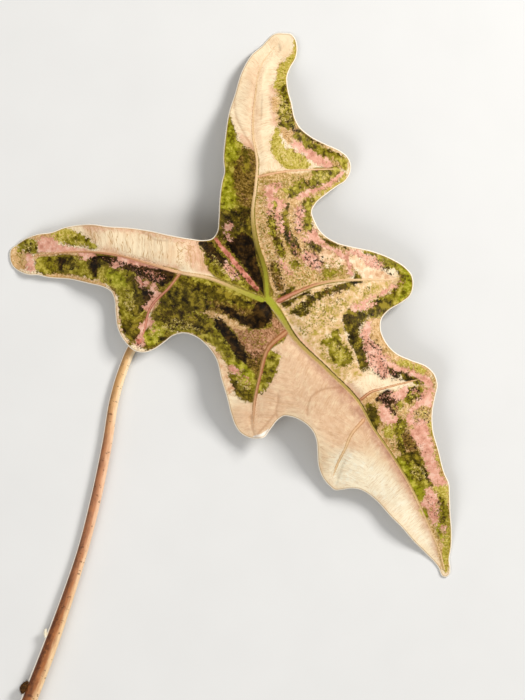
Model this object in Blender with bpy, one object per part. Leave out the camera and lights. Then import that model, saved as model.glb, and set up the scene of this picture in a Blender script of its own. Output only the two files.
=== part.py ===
"""A variegated alocasia leaf, picked with part of its stalk and lying face up on a flat surface.

The blade is one thin waved sheet with raised veins. It rests on the tips of its three lobes. The stalk
leaves the underside of the junction, bends down under the left lobe and lies along the surface.

The plan of the leaf is drawn in pixels of a 525 x 700 picture of it, with x to the right and y down, and
brought to its real size by the leaf's length. Heights are in millimetres above the surface.
"""

import math

import bpy
import numpy as np
from mathutils import Vector
from mathutils.geometry import delaunay_2d_cdt

# Real size: the length from the upper lobe's tip to the front tip sets every size in the plan.
LEAF_LENGTH = 0.250
UPPER_TIP_PX = (285.0, 32.7)
FRONT_TIP_PX = (445.0, 577.5)
PIXEL = LEAF_LENGTH / math.dist(UPPER_TIP_PX, FRONT_TIP_PX)
MM = 0.001

# Blade
BLADE_THICKNESS = 0.75 * MM
BLADE_COLOUR = (0.72, 0.62, 0.38)
BLADE_ROUGHNESS = 0.45
JUNCTION_PX = (266.5, 299.0)
PAD_RADIUS = 4.2 * MM
PAD_BLEND = 4.0 * MM
PAD_DROP = 3.0 * MM
MARGIN_WAVE = 1.1 * MM
MARGIN_WAVE_LENGTH = 31.0 * MM
MARGIN_WAVE_REACH = 9.0 * MM
SUTURE_DEPTH = 3.0 * MM
SUTURE_REACH = 6.0 * MM
SUTURE_FADE = 2.2
CURL_HEIGHT = 2.2 * MM
CURL_REACH = 2.4 * MM
CURL_PX = (260.5, 439.5)

# Forms along a vein: height or depth and reach, both as shares of its half width, and how square they are.
MAIN_CHANNEL = (0.9, 3.2, 2)
SIDE_CHANNEL = (1.1, 4.5, 2)
RIB = (0.38, 1.0, 4)
RIB_BELOW = (0.8, 1.2, 4)
RIB_CLEAR_HEIGHT = 4.0 * MM
VEIN_TAPER = 1.6

# The blade's net: how far apart its points are, and how far the rows beside a vein are from its middle.
MARGIN_SPACING = 2.35 * MM
GRID_SPACING = 3.0 * MM
VEIN_SPACING = 3.2 * MM
CLEAR_OF_ROW = 1.45 * MM
LEAST_IN_ROW = 1.1 * MM
ROW_REACH = 1.35
ROW_LEAST_REACH = 1.2 * MM
WITHIN_OUTLINE = 1
SAME_PLACE = 1e-7
SPAN_STEPS = 16
SLOPE_STEP = 0.2 * MM
SHARP_ANGLE = 50.0

# Stalk
STALK_SIDES = 12
STALK_SPACING = 3.4 * MM
STALK_COLOUR = (0.52, 0.3, 0.17)
STALK_ROUGHNESS = 0.5
SEAT_GAP = 0.3 * MM
SEAT_RADIUS = 2.9 * MM
NECK_RADIUS = 2.6 * MM
NECK_DROP = 1.3 * MM
NECK_SHIFT = 0.1 * MM

# Scraps of dry sheath that grow from the stalk's left side: stations along the middle of each, as the place
# in the plan, then in mm the width there, the height of the middle and how tall the scrap is.
SCRAPS = {
    "sheath scrap": [
        (50.0, 642.0, 1.0, 3.3, 2.2), (46.8, 638.8, 1.3, 3.4, 2.2), (45.2, 635.0, 1.5, 3.7, 2.2),
        (45.0, 631.5, 1.3, 4.0, 2.0), (46.3, 628.4, 0.8, 4.3, 1.6),
    ],
    "dark husk": [
        (28.5, 681.0, 0.8, 4.4, 1.6), (25.8, 684.5, 2.4, 4.4, 2.8), (23.9, 688.0, 3.3, 4.2, 3.4),
        (22.8, 691.0, 2.6, 4.1, 3.0), (22.4, 694.0, 0.8, 4.1, 1.8),
    ],
}

OUTLINE_PX = [
    # upper lobe: its tip, then its right side with the first tooth
    (278, 32.5), (285, 32.7), (291, 33.5), (294.5, 37), (297.5, 48), (296, 58), (291, 67), (287.5, 76),
    (288.3, 90), (292, 104), (295.3, 119), (298.5, 125.5), (310, 136), (326, 144.5), (341, 151.5),
    (348, 157.5), (351, 165), (349.6, 174.5), (345, 181.5), (338, 186), (326.5, 194.5), (315, 205),
    # second tooth
    (312, 211), (315, 222), (321, 232), (336, 242.5), (352, 247), (371, 251), (391, 258.5), (406, 268),
    (411.5, 274.5), (413.3, 282), (410, 296), (402, 302.5), (387, 312), (381.5, 319),
    # third tooth, and the long right side of the front lobe
    (380.3, 327), (385, 341), (396, 353), (411, 360), (427, 366.5), (434, 373.5), (437.5, 384), (435, 398),
    (432.5, 412), (433, 430), (438.5, 450), (445, 474), (449, 483), (449.8, 495), (450.5, 512), (452, 532),
    (451.7, 547), (449.7, 560), (450.6, 569), (449.5, 575), (446, 577.5), (443.5, 577),
    # front tip, and back up the left side with the fourth tooth
    (438, 567), (426, 554), (413, 541), (402, 528), (390, 516), (376, 500.5), (368, 494), (360, 489.7),
    (350, 488.5), (341, 490), (335, 490.3), (330, 486.5), (322, 476.5), (318.5, 467), (317, 450),
    (316, 440), (313, 432), (303, 422), (290, 416.5), (284, 416), (279, 419), (270, 430),
    # fifth tooth, then the bulge of the left lobe
    (264, 437.5), (257, 438.7), (249, 437.7), (240, 432.5), (236, 427), (231, 414), (227, 398), (221, 378),
    (216, 359), (207, 346), (194, 336), (184, 333.3), (173, 336), (165, 342), (153, 350), (144, 352.6),
    (135, 351), (125, 342), (117.5, 328), (115.3, 313), (113.8, 298), (111, 291.8), (105, 288),
    # left lobe: its underside, tip and upper side to the sinus notch
    (90, 284), (70, 279.5), (47, 277.5), (38, 275.3), (30, 275.2), (20, 272), (13, 267), (9.3, 257),
    (10.5, 249), (16, 244.5), (25, 238.5), (38, 234), (52, 232), (63, 227.8), (78, 225), (92, 224.3),
    (108, 226.5), (130, 228), (150, 231), (170, 235.5), (190, 239), (205, 240.3), (212, 238.7),
    # left side of the upper lobe
    (216.8, 232.5), (218.5, 220), (219.5, 200), (222, 181), (224, 173), (223.2, 160), (225, 138), (229, 112),
    (234.5, 95), (241.5, 72), (246, 63), (252, 54), (262, 45.3), (268, 38.5), (273, 34),
]

# Main veins, from the junction outwards: the route, and the rib's half width at its two ends in mm.
MAIN_VEINS = {
    "midrib": ([(268, 299), (277.8, 311.2), (294, 337.2), (327, 369.5), (359.4, 403.2), (372.1, 426.3),
                (390.1, 452.3), (411, 487.3), (427.4, 522.4), (440.5, 553), (445, 570)], 1.9, 0.4),
    "upper costa": ([(267.5, 297), (264.8, 271), (257, 245), (253, 217), (256.5, 182), (257.5, 164),
                     (253, 135), (255, 98), (261.5, 65), (275, 46)], 1.8, 0.35),
    "left costa": ([(262, 299.5), (240, 290.5), (210, 278.5), (180, 273), (150, 264.5), (110, 254),
                    (70, 252), (30, 257)], 1.6, 0.45),
}
SIDE_VEINS = {
    "to the first tooth": ([(259, 177), (278, 173), (302, 170.5), (342, 169)], 0.6, 0.35),
    "to the second tooth": ([(279, 301), (297, 292.5), (315, 285.5), (334, 281.5), (352, 280.3),
                             (400, 280)], 1.2, 0.4),
    "to the third tooth": ([(361, 399), (370, 392), (384, 388), (424, 378)], 0.7, 0.35),
    "to the fifth tooth": ([(286, 332), (269, 347), (260, 375), (254, 407), (254, 430)], 1.2, 0.7),
    "to the fourth tooth": ([(363, 420), (350.7, 435), (344.6, 449.3), (337.6, 463.3), (331.6, 480.5)],
                            0.9, 0.5),
    "to the bulge": ([(180, 274), (170, 287), (150.5, 308), (144.5, 330), (140, 344.5)], 0.7, 0.5),
}
SUTURE_PX = [(215.5, 237), (228, 248), (243, 266), (256, 284), (262, 292)]

# How the blade drapes: places in the plan, with the height of the upper face there in mm.
DRAPE = [
    # along the midrib
    (267, 299, 21.0), (300, 340, 22.0), (340, 380, 20.5), (373, 426, 16.0), (399, 464, 11.5),
    (418, 500, 7.4), (433, 532, 3.3), (443, 562, 0.8), (446, 576, -0.2),
    # along the upper costa
    (262, 268, 21.5), (253, 220, 21.5), (257, 182, 19.0), (254, 135, 14.5), (256, 98, 9.8), (262, 65, 5.2),
    (277, 42, 0.8), (287, 34, -0.2),
    # along the left costa
    (240, 287, 21.5), (200, 274.5, 21.5), (165, 268, 19.0), (130, 259, 14.8), (95, 252, 10.0),
    (60, 252.5, 5.8), (35, 257, 2.4), (11, 258, 0.2),
    # right margins, in and out of the teeth
    (288, 88, 8.0), (297, 124, 11.0), (330, 147, 9.6), (350, 166, 6.4), (337, 184, 9.5), (312, 209, 14.5),
    (336, 242, 16.0), (391, 258, 12.0), (413, 282, 7.4), (402, 303, 10.0), (381, 324, 15.0),
    (411, 360, 12.5), (437, 384, 7.2), (433, 420, 9.5), (446, 474, 6.8), (450, 512, 4.0), (451, 545, 2.2),
    # left margins, in and out of the teeth
    (420, 548, 3.4), (390, 516, 6.4), (360, 490, 7.6), (336, 491, 4.6), (317, 450, 11.5), (288, 416, 14.5),
    (256, 439, 7.4), (236, 427, 8.4), (222, 380, 12.5), (207, 346, 12.5), (184, 333, 10.6), (145, 352, 7.8),
    (117, 325, 7.6), (112, 292, 7.4), (85, 283, 5.6), (50, 278, 3.2), (25, 273, 1.6),
    # upper side of the left lobe, notch and left side of the upper lobe
    (20, 241, 2.0), (60, 229, 6.2), (92, 224, 9.6), (130, 228, 13.6), (170, 235.5, 17.2), (205, 240, 17.8),
    (214, 237, 16.0), (219, 205, 16.0), (223, 165, 14.6), (227, 121, 11.0), (240, 76, 5.6), (262, 45, 1.9),
]

# Stalk route: places in the plan, with the height of its middle in mm (None where it lies on the surface)
# and its radius in mm.
STALK = [
    (262.5, 299.9, 13.3, 2.35), (255, 301, 10.1, 2.25), (243, 302.8, 7.5, 2.2), (226, 305.2, 5.2, 2.2),
    (207, 308.8, 3.3, 2.2), (188, 313.5, None, 2.2), (168, 320, None, 2.15), (149, 330, None, 2.15),
    (132.5, 347.5, None, 2.15), (123.5, 368, None, 2.15), (114, 400, None, 2.2), (107.5, 440, None, 2.3),
    (95.3, 500, None, 2.45), (82.5, 550, None, 2.45), (66.3, 600, None, 2.8), (48.5, 650, None, 3.3),
    (29, 700, None, 3.5), (8.5, 752, None, 3.6),
]


def plan(points):
    """Pixels of the picture as metres in the plan, with y upwards."""
    return np.array(points, float)[:, :2] * (PIXEL, -PIXEL)


def smooth_curve(points, spacing, closed=False):
    """A smooth curve through the points, read at an even spacing."""
    points = np.asarray(points, float)
    if closed:
        ring = np.vstack([points[-1], points, points[:2]])
    else:
        ring = np.vstack([2 * points[0] - points[1], points, 2 * points[-1] - points[-2]])
    steps = np.diff(ring, axis=0)
    lengths = np.linalg.norm(steps, axis=1)[:, None]
    ways = steps / lengths
    tangents = (ways[:-1] * lengths[1:] + ways[1:] * lengths[:-1]) / (lengths[1:] + lengths[:-1])
    fine = []
    for start, end, way_in, way_out, length in zip(ring[1:], ring[2:], tangents, tangents[1:], lengths[1:]):
        for t in np.linspace(0, 1, SPAN_STEPS, endpoint=False):
            fine.append(
                (2 * t**3 - 3 * t**2 + 1) * start
                + (t**3 - 2 * t**2 + t) * length * way_in
                + (3 * t**2 - 2 * t**3) * end
                + (t**3 - t**2) * length * way_out
            )
    fine.append(points[0] if closed else points[-1])
    fine = np.array(fine)
    run = np.concatenate([[0], np.cumsum(np.linalg.norm(np.diff(fine, axis=0), axis=1))])
    count = max(2, round(run[-1] / spacing))
    places = np.linspace(0, run[-1], count + 1)
    even = np.column_stack([np.interp(places, run, fine[:, k]) for k in range(fine.shape[1])])
    return even[:-1] if closed else even


def length_of(path, closed=False):
    steps = np.diff(np.vstack([path, path[:1]]) if closed else path, axis=0)
    return np.linalg.norm(steps, axis=1).sum()


def nearest(path, at, closed=False):
    """For each place: the distance to the path, and the share of the way along it."""
    ends = np.vstack([path[1:], path[:1]]) if closed else path[1:]
    starts = path if closed else path[:-1]
    best = np.full(len(at), np.inf)
    along = np.zeros(len(at))
    run = 0.0
    for start, end in zip(starts, ends):
        way = end - start
        length = math.hypot(*way)
        part = np.clip((at - start) @ way / length**2, 0, 1)
        gap = np.linalg.norm(at - start - part[:, None] * way, axis=1)
        closer = gap < best
        best[closer] = gap[closer]
        along[closer] = run + part[closer] * length
        run += length
    return best, along / run


def inside(outline, at):
    """Whether each place lies within the outline."""
    within = np.zeros(len(at), bool)
    for start, end in zip(outline, np.roll(outline, -1, axis=0)):
        crosses = (start[1] > at[:, 1]) != (end[1] > at[:, 1])
        slope = (end[0] - start[0]) / (end[1] - start[1]) if end[1] != start[1] else 0.0
        within ^= crosses & (at[:, 0] < start[0] + slope * (at[:, 1] - start[1]))
    return within


def smooth_step(value):
    value = np.clip(value, 0, 1)
    return value * value * (3 - 2 * value)


class Drape:
    """A thin sheet bent as little as it can be through given heights."""

    def __init__(self, rows, stiffness=2e-4):
        rows = np.array(rows, float)
        self.places = plan(rows) / LEAF_LENGTH
        heights = rows[:, 2] * MM
        corner = np.column_stack([np.ones(len(rows)), self.places])
        bend = self.bend(self.places) + stiffness * np.eye(len(rows))
        whole = np.block([[bend, corner], [corner.T, np.zeros((3, 3))]])
        self.weights = np.linalg.solve(whole, np.concatenate([heights, np.zeros(3)]))

    def bend(self, at):
        squares = ((at[:, None] - self.places[None]) ** 2).sum(axis=2)
        return squares * np.log(squares + 1e-12)

    def __call__(self, at):
        at = at / LEAF_LENGTH
        return self.bend(at) @ self.weights[:-3] + self.weights[-3] + at @ self.weights[-2:]


class Vein:
    """One vein: its route, and its rib's half width along it."""

    def __init__(self, route, base, tip):
        self.path = smooth_curve(plan(route), VEIN_SPACING)
        self.base = base * MM
        self.tip = tip * MM

    def half_width(self, along):
        return self.tip + (self.base - self.tip) * (1 - along) ** VEIN_TAPER


class Blade:
    """The form of the blade: the height of its upper face and its thickness anywhere in the plan."""

    def __init__(self):
        self.drape = Drape(DRAPE)
        self.outline = smooth_curve(plan(OUTLINE_PX), MARGIN_SPACING, closed=True)
        self.waves = round(length_of(self.outline, closed=True) / MARGIN_WAVE_LENGTH)
        self.main_veins = [Vein(*row) for row in MAIN_VEINS.values()]
        self.side_veins = [Vein(*row) for row in SIDE_VEINS.values()]
        self.suture = smooth_curve(plan(SUTURE_PX), VEIN_SPACING)
        self.junction = plan([JUNCTION_PX])[0]
        self.curl = plan([CURL_PX])[0]

    def relief(self, veins, at, form):
        """A rounded form along each vein. Where veins meet, the higher one counts."""
        amount, reach, power = form
        most = np.zeros(len(at))
        for vein in veins:
            gap, along = nearest(vein.path, at)
            half = vein.half_width(along)
            most = np.maximum(most, amount * half * np.exp(-((gap / half / reach) ** power)))
        return most

    def height(self, at):
        top = self.drape(at)
        gap, along = nearest(self.outline, at, closed=True)
        wave = np.sin(along * 2 * math.pi * self.waves)
        top += MARGIN_WAVE * wave * np.exp(-gap / MARGIN_WAVE_REACH)
        top -= self.relief(self.main_veins, at, MAIN_CHANNEL)
        top -= self.relief(self.side_veins, at, SIDE_CHANNEL)
        top += self.relief(self.main_veins + self.side_veins, at, RIB)
        fold, along = nearest(self.suture, at)
        top -= SUTURE_DEPTH * np.exp(-fold / SUTURE_REACH) * smooth_step(SUTURE_FADE * (1 - along))
        from_curl = np.linalg.norm(at - self.curl, axis=1)
        top += CURL_HEIGHT * np.exp(-((from_curl / CURL_REACH) ** 2))
        return np.maximum(top, self.thickness(at))

    def thickness(self, at):
        """Measured straight down, so it grows a little where the blade is steep."""
        step_x, step_y = (SLOPE_STEP, 0), (0, SLOPE_STEP)
        slope_x = (self.drape(at + step_x) - self.drape(at - step_x)) / (2 * SLOPE_STEP)
        slope_y = (self.drape(at + step_y) - self.drape(at - step_y)) / (2 * SLOPE_STEP)
        thick = BLADE_THICKNESS * np.sqrt(1 + slope_x**2 + slope_y**2)
        clear_of_surface = smooth_step(self.drape(at) / RIB_CLEAR_HEIGHT)
        return thick + clear_of_surface * self.relief(self.main_veins + self.side_veins, at, RIB_BELOW)

    def pad_height(self):
        """The flat seat for the stalk under the junction."""
        return float(self.height(self.junction[None])[0]) - PAD_DROP

    def faces(self, at):
        """Heights of the upper and the lower face."""
        top = self.height(at)
        under = top - self.thickness(at)
        away = np.linalg.norm(at - self.junction, axis=1)
        pad = 1 - smooth_step((away - PAD_RADIUS) / PAD_BLEND)
        return top, under + (np.minimum(self.pad_height(), under) - under) * pad


def vein_rows(blade):
    """Rows of points along each vein's middle and its two sides, so that its rib is drawn cleanly."""
    rows = []
    for vein in blade.main_veins + blade.side_veins:
        way = np.gradient(vein.path, axis=0)
        side = np.column_stack([-way[:, 1], way[:, 0]]) / np.linalg.norm(way, axis=1)[:, None]
        half = vein.half_width(np.linspace(0, 1, len(vein.path)))
        reach = np.maximum(half * ROW_REACH, ROW_LEAST_REACH)[:, None]
        rows += [vein.path, vein.path + side * reach, vein.path - side * reach]
    rows.append(blade.suture[1:])
    return rows


def thin_out(points, kept, least):
    """The points that lie at least that far from every kept one and from each other."""
    chosen = list(kept)
    for point in points:
        if np.min(np.linalg.norm(np.array(chosen) - point, axis=1)) >= least:
            chosen.append(point)
    return np.array(chosen[len(kept):]).reshape(-1, 2)


def plan_points(blade):
    """Every place of the blade's net: its outline, the vein rows and an even grid of triangles between."""
    outline = blade.outline
    rows = np.vstack(vein_rows(blade))
    rows = rows[inside(outline, rows)]
    rows = rows[nearest(outline, rows, closed=True)[0] > CLEAR_OF_ROW]
    rows = thin_out(rows, outline, LEAST_IN_ROW)
    low, high = outline.min(axis=0), outline.max(axis=0)
    grid = []
    for line, y in enumerate(np.arange(low[1], high[1], GRID_SPACING * math.sqrt(0.75))):
        shift = GRID_SPACING / 2 * (line % 2)
        grid += [(x, y) for x in np.arange(low[0] + shift, high[0], GRID_SPACING)]
    grid = np.array(grid)
    grid = grid[inside(outline, grid)]
    grid = grid[nearest(outline, grid, closed=True)[0] > CLEAR_OF_ROW]
    kept = np.vstack([outline, rows])
    return np.vstack([kept, thin_out(grid, kept, CLEAR_OF_ROW)])


def blade_net(blade):
    """The blade's net in the plan: its places and its triangles, turned anticlockwise."""
    places = plan_points(blade)
    count = len(blade.outline)
    edges = [(k, (k + 1) % count) for k in range(count)]
    corners = [Vector(p) for p in places]
    points, _, faces, _, _, _ = delaunay_2d_cdt(corners, edges, [], WITHIN_OUTLINE, SAME_PLACE)
    places = np.array([tuple(p) for p in points])
    triangles = np.array([tuple(face) for face in faces])
    a, b, c = (places[triangles[:, k]] for k in range(3))
    turn = (b[:, 0] - a[:, 0]) * (c[:, 1] - a[:, 1]) - (b[:, 1] - a[:, 1]) * (c[:, 0] - a[:, 0])
    triangles[turn < 0] = triangles[turn < 0][:, ::-1]
    return places, triangles


def sheet(places, top, under, triangles):
    """One closed sheet: the same triangles on both faces, joined by a wall along the open edges."""
    count = len(places)
    points = np.vstack([np.column_stack([places, top]), np.column_stack([places, under])])
    sides = np.vstack([triangles[:, [0, 1]], triangles[:, [1, 2]], triangles[:, [2, 0]]])
    twins = {tuple(side) for side in sides[:, ::-1].tolist()}
    faces = triangles.tolist() + (triangles[:, ::-1] + count).tolist()
    for start, end in sides.tolist():
        if (start, end) not in twins:
            faces += [(end, start, start + count), (end, start + count, end + count)]
    return points, faces


def stalk_route(blade):
    """The middle of the stalk and its radius, from its seat under the junction to its cut end."""
    seat = blade.pad_height() - SEAT_GAP
    neck = blade.junction - (NECK_SHIFT, 0)
    rows = [(*blade.junction, seat, SEAT_RADIUS), (*neck, seat - NECK_DROP, NECK_RADIUS)]
    lift = math.cos(math.pi / STALK_SIDES)
    for x, y, middle, radius in STALK:
        place = plan([(x, y)])[0]
        rows.append((*place, radius * MM * lift if middle is None else middle * MM, radius * MM))
    curve = smooth_curve(rows, STALK_SPACING)
    curve[:, 2] = np.maximum(curve[:, 2], curve[:, 3] * lift)
    return curve[:, :3], curve[:, 3]


def stalk_mesh(blade):
    """Rings of flat sides along the route, with one side straight down where the stalk lies."""
    route, radii = stalk_route(blade)
    ways = np.gradient(route, axis=0)
    ways /= np.linalg.norm(ways, axis=1)[:, None]
    ways[0] = (0, 0, -1)
    side = np.cross(ways[-1], (0, 0, 1))
    rings = []
    for middle, way, radius in zip(route[::-1], ways[::-1], radii[::-1]):
        side = side - way * np.dot(side, way)
        side /= np.linalg.norm(side)
        down = np.cross(side, way) * -1
        for k in range(STALK_SIDES):
            turn = 2 * math.pi * (k + 0.5) / STALK_SIDES
            rings.append(middle + radius * (math.cos(turn) * -down + math.sin(turn) * side))
    last = len(route) - 1
    first_end = list(range(STALK_SIDES))
    far_end = [last * STALK_SIDES + k for k in reversed(range(STALK_SIDES))]
    faces = [first_end, far_end]
    for ring in range(last):
        for k in range(STALK_SIDES):
            a = ring * STALK_SIDES + k
            b = ring * STALK_SIDES + (k + 1) % STALK_SIDES
            faces.append((b, a, a + STALK_SIDES, b + STALK_SIDES))
    return rings, faces


def scrap_mesh(rows):
    """A scrap of dry sheath: a small strip, upright and square to its middle line all the way."""
    rows = np.array(rows)
    middles = np.column_stack([plan(rows), rows[:, 3] * MM])
    ways = np.gradient(middles[:, :2], axis=0)
    ways /= np.linalg.norm(ways, axis=1)[:, None]
    sections = []
    for middle, way, (width, tall) in zip(middles, ways, rows[:, [2, 4]] * MM):
        out = np.array([way[1], -way[0], 0.0]) * width / 2
        up = np.array([0.0, 0.0, tall / 2])
        sections += [middle - up - out, middle + up - out, middle + up + out, middle - up + out]
    last = 4 * (len(rows) - 1)
    faces = [(3, 2, 1, 0), (last, last + 1, last + 2, last + 3)]
    for ring in range(len(rows) - 1):
        for k in range(4):
            a, b = ring * 4 + k, ring * 4 + (k + 1) % 4
            faces.append((a, b, b + 4, a + 4))
    return sections, faces


def material(name, colour, roughness):
    finish = bpy.data.materials.new(name)
    finish.use_nodes = True
    shader = finish.node_tree.nodes["Principled BSDF"]
    shader.inputs["Base Color"].default_value = (*colour, 1.0)
    shader.inputs["Roughness"].default_value = roughness
    shader.inputs["Metallic"].default_value = 0.0
    return finish


def add_object(name, points, faces, finish):
    mesh = bpy.data.meshes.new(name)
    mesh.from_pydata([tuple(p) for p in points], [], faces)
    mesh.shade_smooth()
    mesh.set_sharp_from_angle(angle=math.radians(SHARP_ANGLE))
    if finish:
        mesh.materials.append(finish)
    made = bpy.data.objects.new(name, mesh)
    bpy.context.scene.collection.objects.link(made)
    return made


def make_blade(blade):
    places, triangles = blade_net(blade)
    top, under = blade.faces(places)
    points, faces = sheet(places, top, under, triangles)
    return add_object("blade", points, faces, material("blade", BLADE_COLOUR, BLADE_ROUGHNESS))


def make_petiole(blade):
    return add_object("petiole", *stalk_mesh(blade), material("petiole", STALK_COLOUR, STALK_ROUGHNESS))


def join_scraps(petiole):
    """Each scrap grows from the stalk, so it is one solid with it."""
    scraps = []
    for name, rows in SCRAPS.items():
        scrap = add_object(name, *scrap_mesh(rows), None)
        scrap.hide_render = True
        scrap.display_type = "WIRE"
        join = petiole.modifiers.new(name, "BOOLEAN")
        join.operation = "UNION"
        join.object = scrap
        scraps.append(scrap)
    return scraps


def centre_on_base(made, corners):
    """The origin is the middle of the leaf's box, on the surface that it lies on."""
    middle = (corners.min(axis=0) + corners.max(axis=0)) / 2
    for one in made:
        one.location = (-middle[0], -middle[1], 0.0)


def main():
    for old in list(bpy.data.objects):
        bpy.data.objects.remove(old, do_unlink=True)
    form = Blade()
    blade = make_blade(form)
    petiole = make_petiole(form)
    scraps = join_scraps(petiole)
    corners = np.array([tuple(v.co) for one in (blade, petiole) for v in one.data.vertices])
    centre_on_base([blade, petiole, *scraps], corners)


main()
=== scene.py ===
"""The looks of a variegated alocasia leaf, lying face up on a pale floor with the camera straight above.

The blade is a waved sheet with raised veins and drawn markings. The stalk is drawn out along its route from
the cut end, and two scraps of dry sheath grow from it.

Places in the plan are pixels of a 525 x 700 picture of the leaf, with x to the right and y down. The leaf's
length gives a pixel its size. Lengths are metres where nothing else is said, and MM is a millimetre.
"""

import math

import bpy
import numpy as np
from mathutils import Matrix, Vector, noise
from mathutils.geometry import delaunay_2d_cdt
from mathutils.kdtree import KDTree


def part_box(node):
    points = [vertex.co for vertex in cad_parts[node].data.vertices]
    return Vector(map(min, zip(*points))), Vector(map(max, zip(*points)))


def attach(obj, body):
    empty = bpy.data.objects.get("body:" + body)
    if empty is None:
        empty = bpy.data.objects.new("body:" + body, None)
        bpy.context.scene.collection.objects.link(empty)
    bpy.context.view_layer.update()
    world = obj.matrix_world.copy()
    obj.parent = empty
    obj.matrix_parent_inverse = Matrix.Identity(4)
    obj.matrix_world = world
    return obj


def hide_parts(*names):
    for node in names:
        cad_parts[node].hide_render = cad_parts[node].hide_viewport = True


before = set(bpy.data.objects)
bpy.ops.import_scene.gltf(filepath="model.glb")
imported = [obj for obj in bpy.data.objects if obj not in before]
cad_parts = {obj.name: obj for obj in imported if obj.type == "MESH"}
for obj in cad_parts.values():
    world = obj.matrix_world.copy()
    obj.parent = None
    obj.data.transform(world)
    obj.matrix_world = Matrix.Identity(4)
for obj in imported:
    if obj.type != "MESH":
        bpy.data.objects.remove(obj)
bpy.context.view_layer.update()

# Size: the leaf's length from the tip of its upper lobe to its front tip, in metres
LEAF_LENGTH = 0.250
UPPER_TIP_PX = (285.0, 32.7)
FRONT_TIP_PX = (445.0, 577.5)
PICTURE = (525, 700)
PIXEL = LEAF_LENGTH / math.dist(UPPER_TIP_PX, FRONT_TIP_PX)
MM = 0.001
# A smooth curve is worked out in so many steps from one given point to the next.
CURVE_STEPS = 24

# Form of the blade
BLADE_THICKNESS = 0.75 * MM
SOLID_MARGIN_SPACING = 2.35 * MM
JUNCTION_PX = (266.5, 299.0)
PAD_RADIUS = 4.2 * MM
PAD_BLEND = 4.0 * MM
PAD_DROP = 3.0 * MM
MARGIN_WAVE = 1.1 * MM
MARGIN_WAVE_LENGTH = 31.0 * MM
MARGIN_WAVE_REACH = 9.0 * MM
SUTURE_DEPTH = 3.0 * MM
SUTURE_REACH = 6.0 * MM
SUTURE_FADE = 2.2
# Forms along the veins, as the height for a half width of 1, the reach in half widths and the steepness
MAIN_CHANNEL = (0.9, 3.2, 2)
SIDE_CHANNEL = (1.1, 4.5, 2)
RIB = (0.38, 1.0, 4)
RIB_BELOW = (0.8, 1.2, 4)
RIB_CLEAR_HEIGHT = 4.0 * MM
CURL_HEIGHT = 2.2 * MM
CURL_REACH = 2.4 * MM
CURL_PX = (260.5, 439.5)

# The blade's net: the finer upper face and the plainer underside share the rows along the rim.
RIM_SPACING = 0.5 * MM
RIM_ROUNDING = 0.14 * MM
RIM_ROWS = [0.45 * MM, 0.85 * MM, 1.3 * MM]
UPPER_GRID = 0.52 * MM
UNDER_GRID = 1.2 * MM
VEIN_STEP = 1.0 * MM
VEIN_ROWS = (-1.3, -0.8, 0.0, 0.8, 1.3)
# How near points of the net may come: in the rows along the rim, beside the veins, and in the grid, there
# as a share of its spacing. The grid ends this far from the last row. A row's points that the margin
# comes nearer to than this share of the row's depth are left out.
ROW_GAP = 0.34 * MM
VEIN_GAP = 0.36 * MM
GRID_GAP = 0.7
GRID_CLEAR = 0.3 * MM
ROW_SHARE = 0.95

# Fine relief of the upper face: folds along small ribs, which leave the veins at a slant, creases, a bead
# along the rim, and cockles as their size and height
RIB_SPACING = 1.35 * MM
RIB_SLANT = 0.3
RIB_START = 0.8 * MM
RIB_FADE = 2.0 * MM
FOLD_HEIGHT = 0.07 * MM
FOLD_SWAY = 0.3
FOLD_SWAY_SIZE = 5 * MM
FOLD_SHARE = 0.6
FOLD_CHANGE = 0.5
FOLD_CHANGE_SIZE = 6 * MM
CREASE_DEPTH = 0.18 * MM
CREASE_REACH = 0.7 * MM
# The width of the painted shade along the creases
CREASE_SHADE_WIDTH = 0.45 * MM
BEAD_HEIGHT = 0.08 * MM
BEAD_REACH = 0.35 * MM
COCKLES = ((9.0 * MM, 0.32 * MM), (3.2 * MM, 0.08 * MM))
COCKLE_MARGIN = 3 * MM

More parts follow.
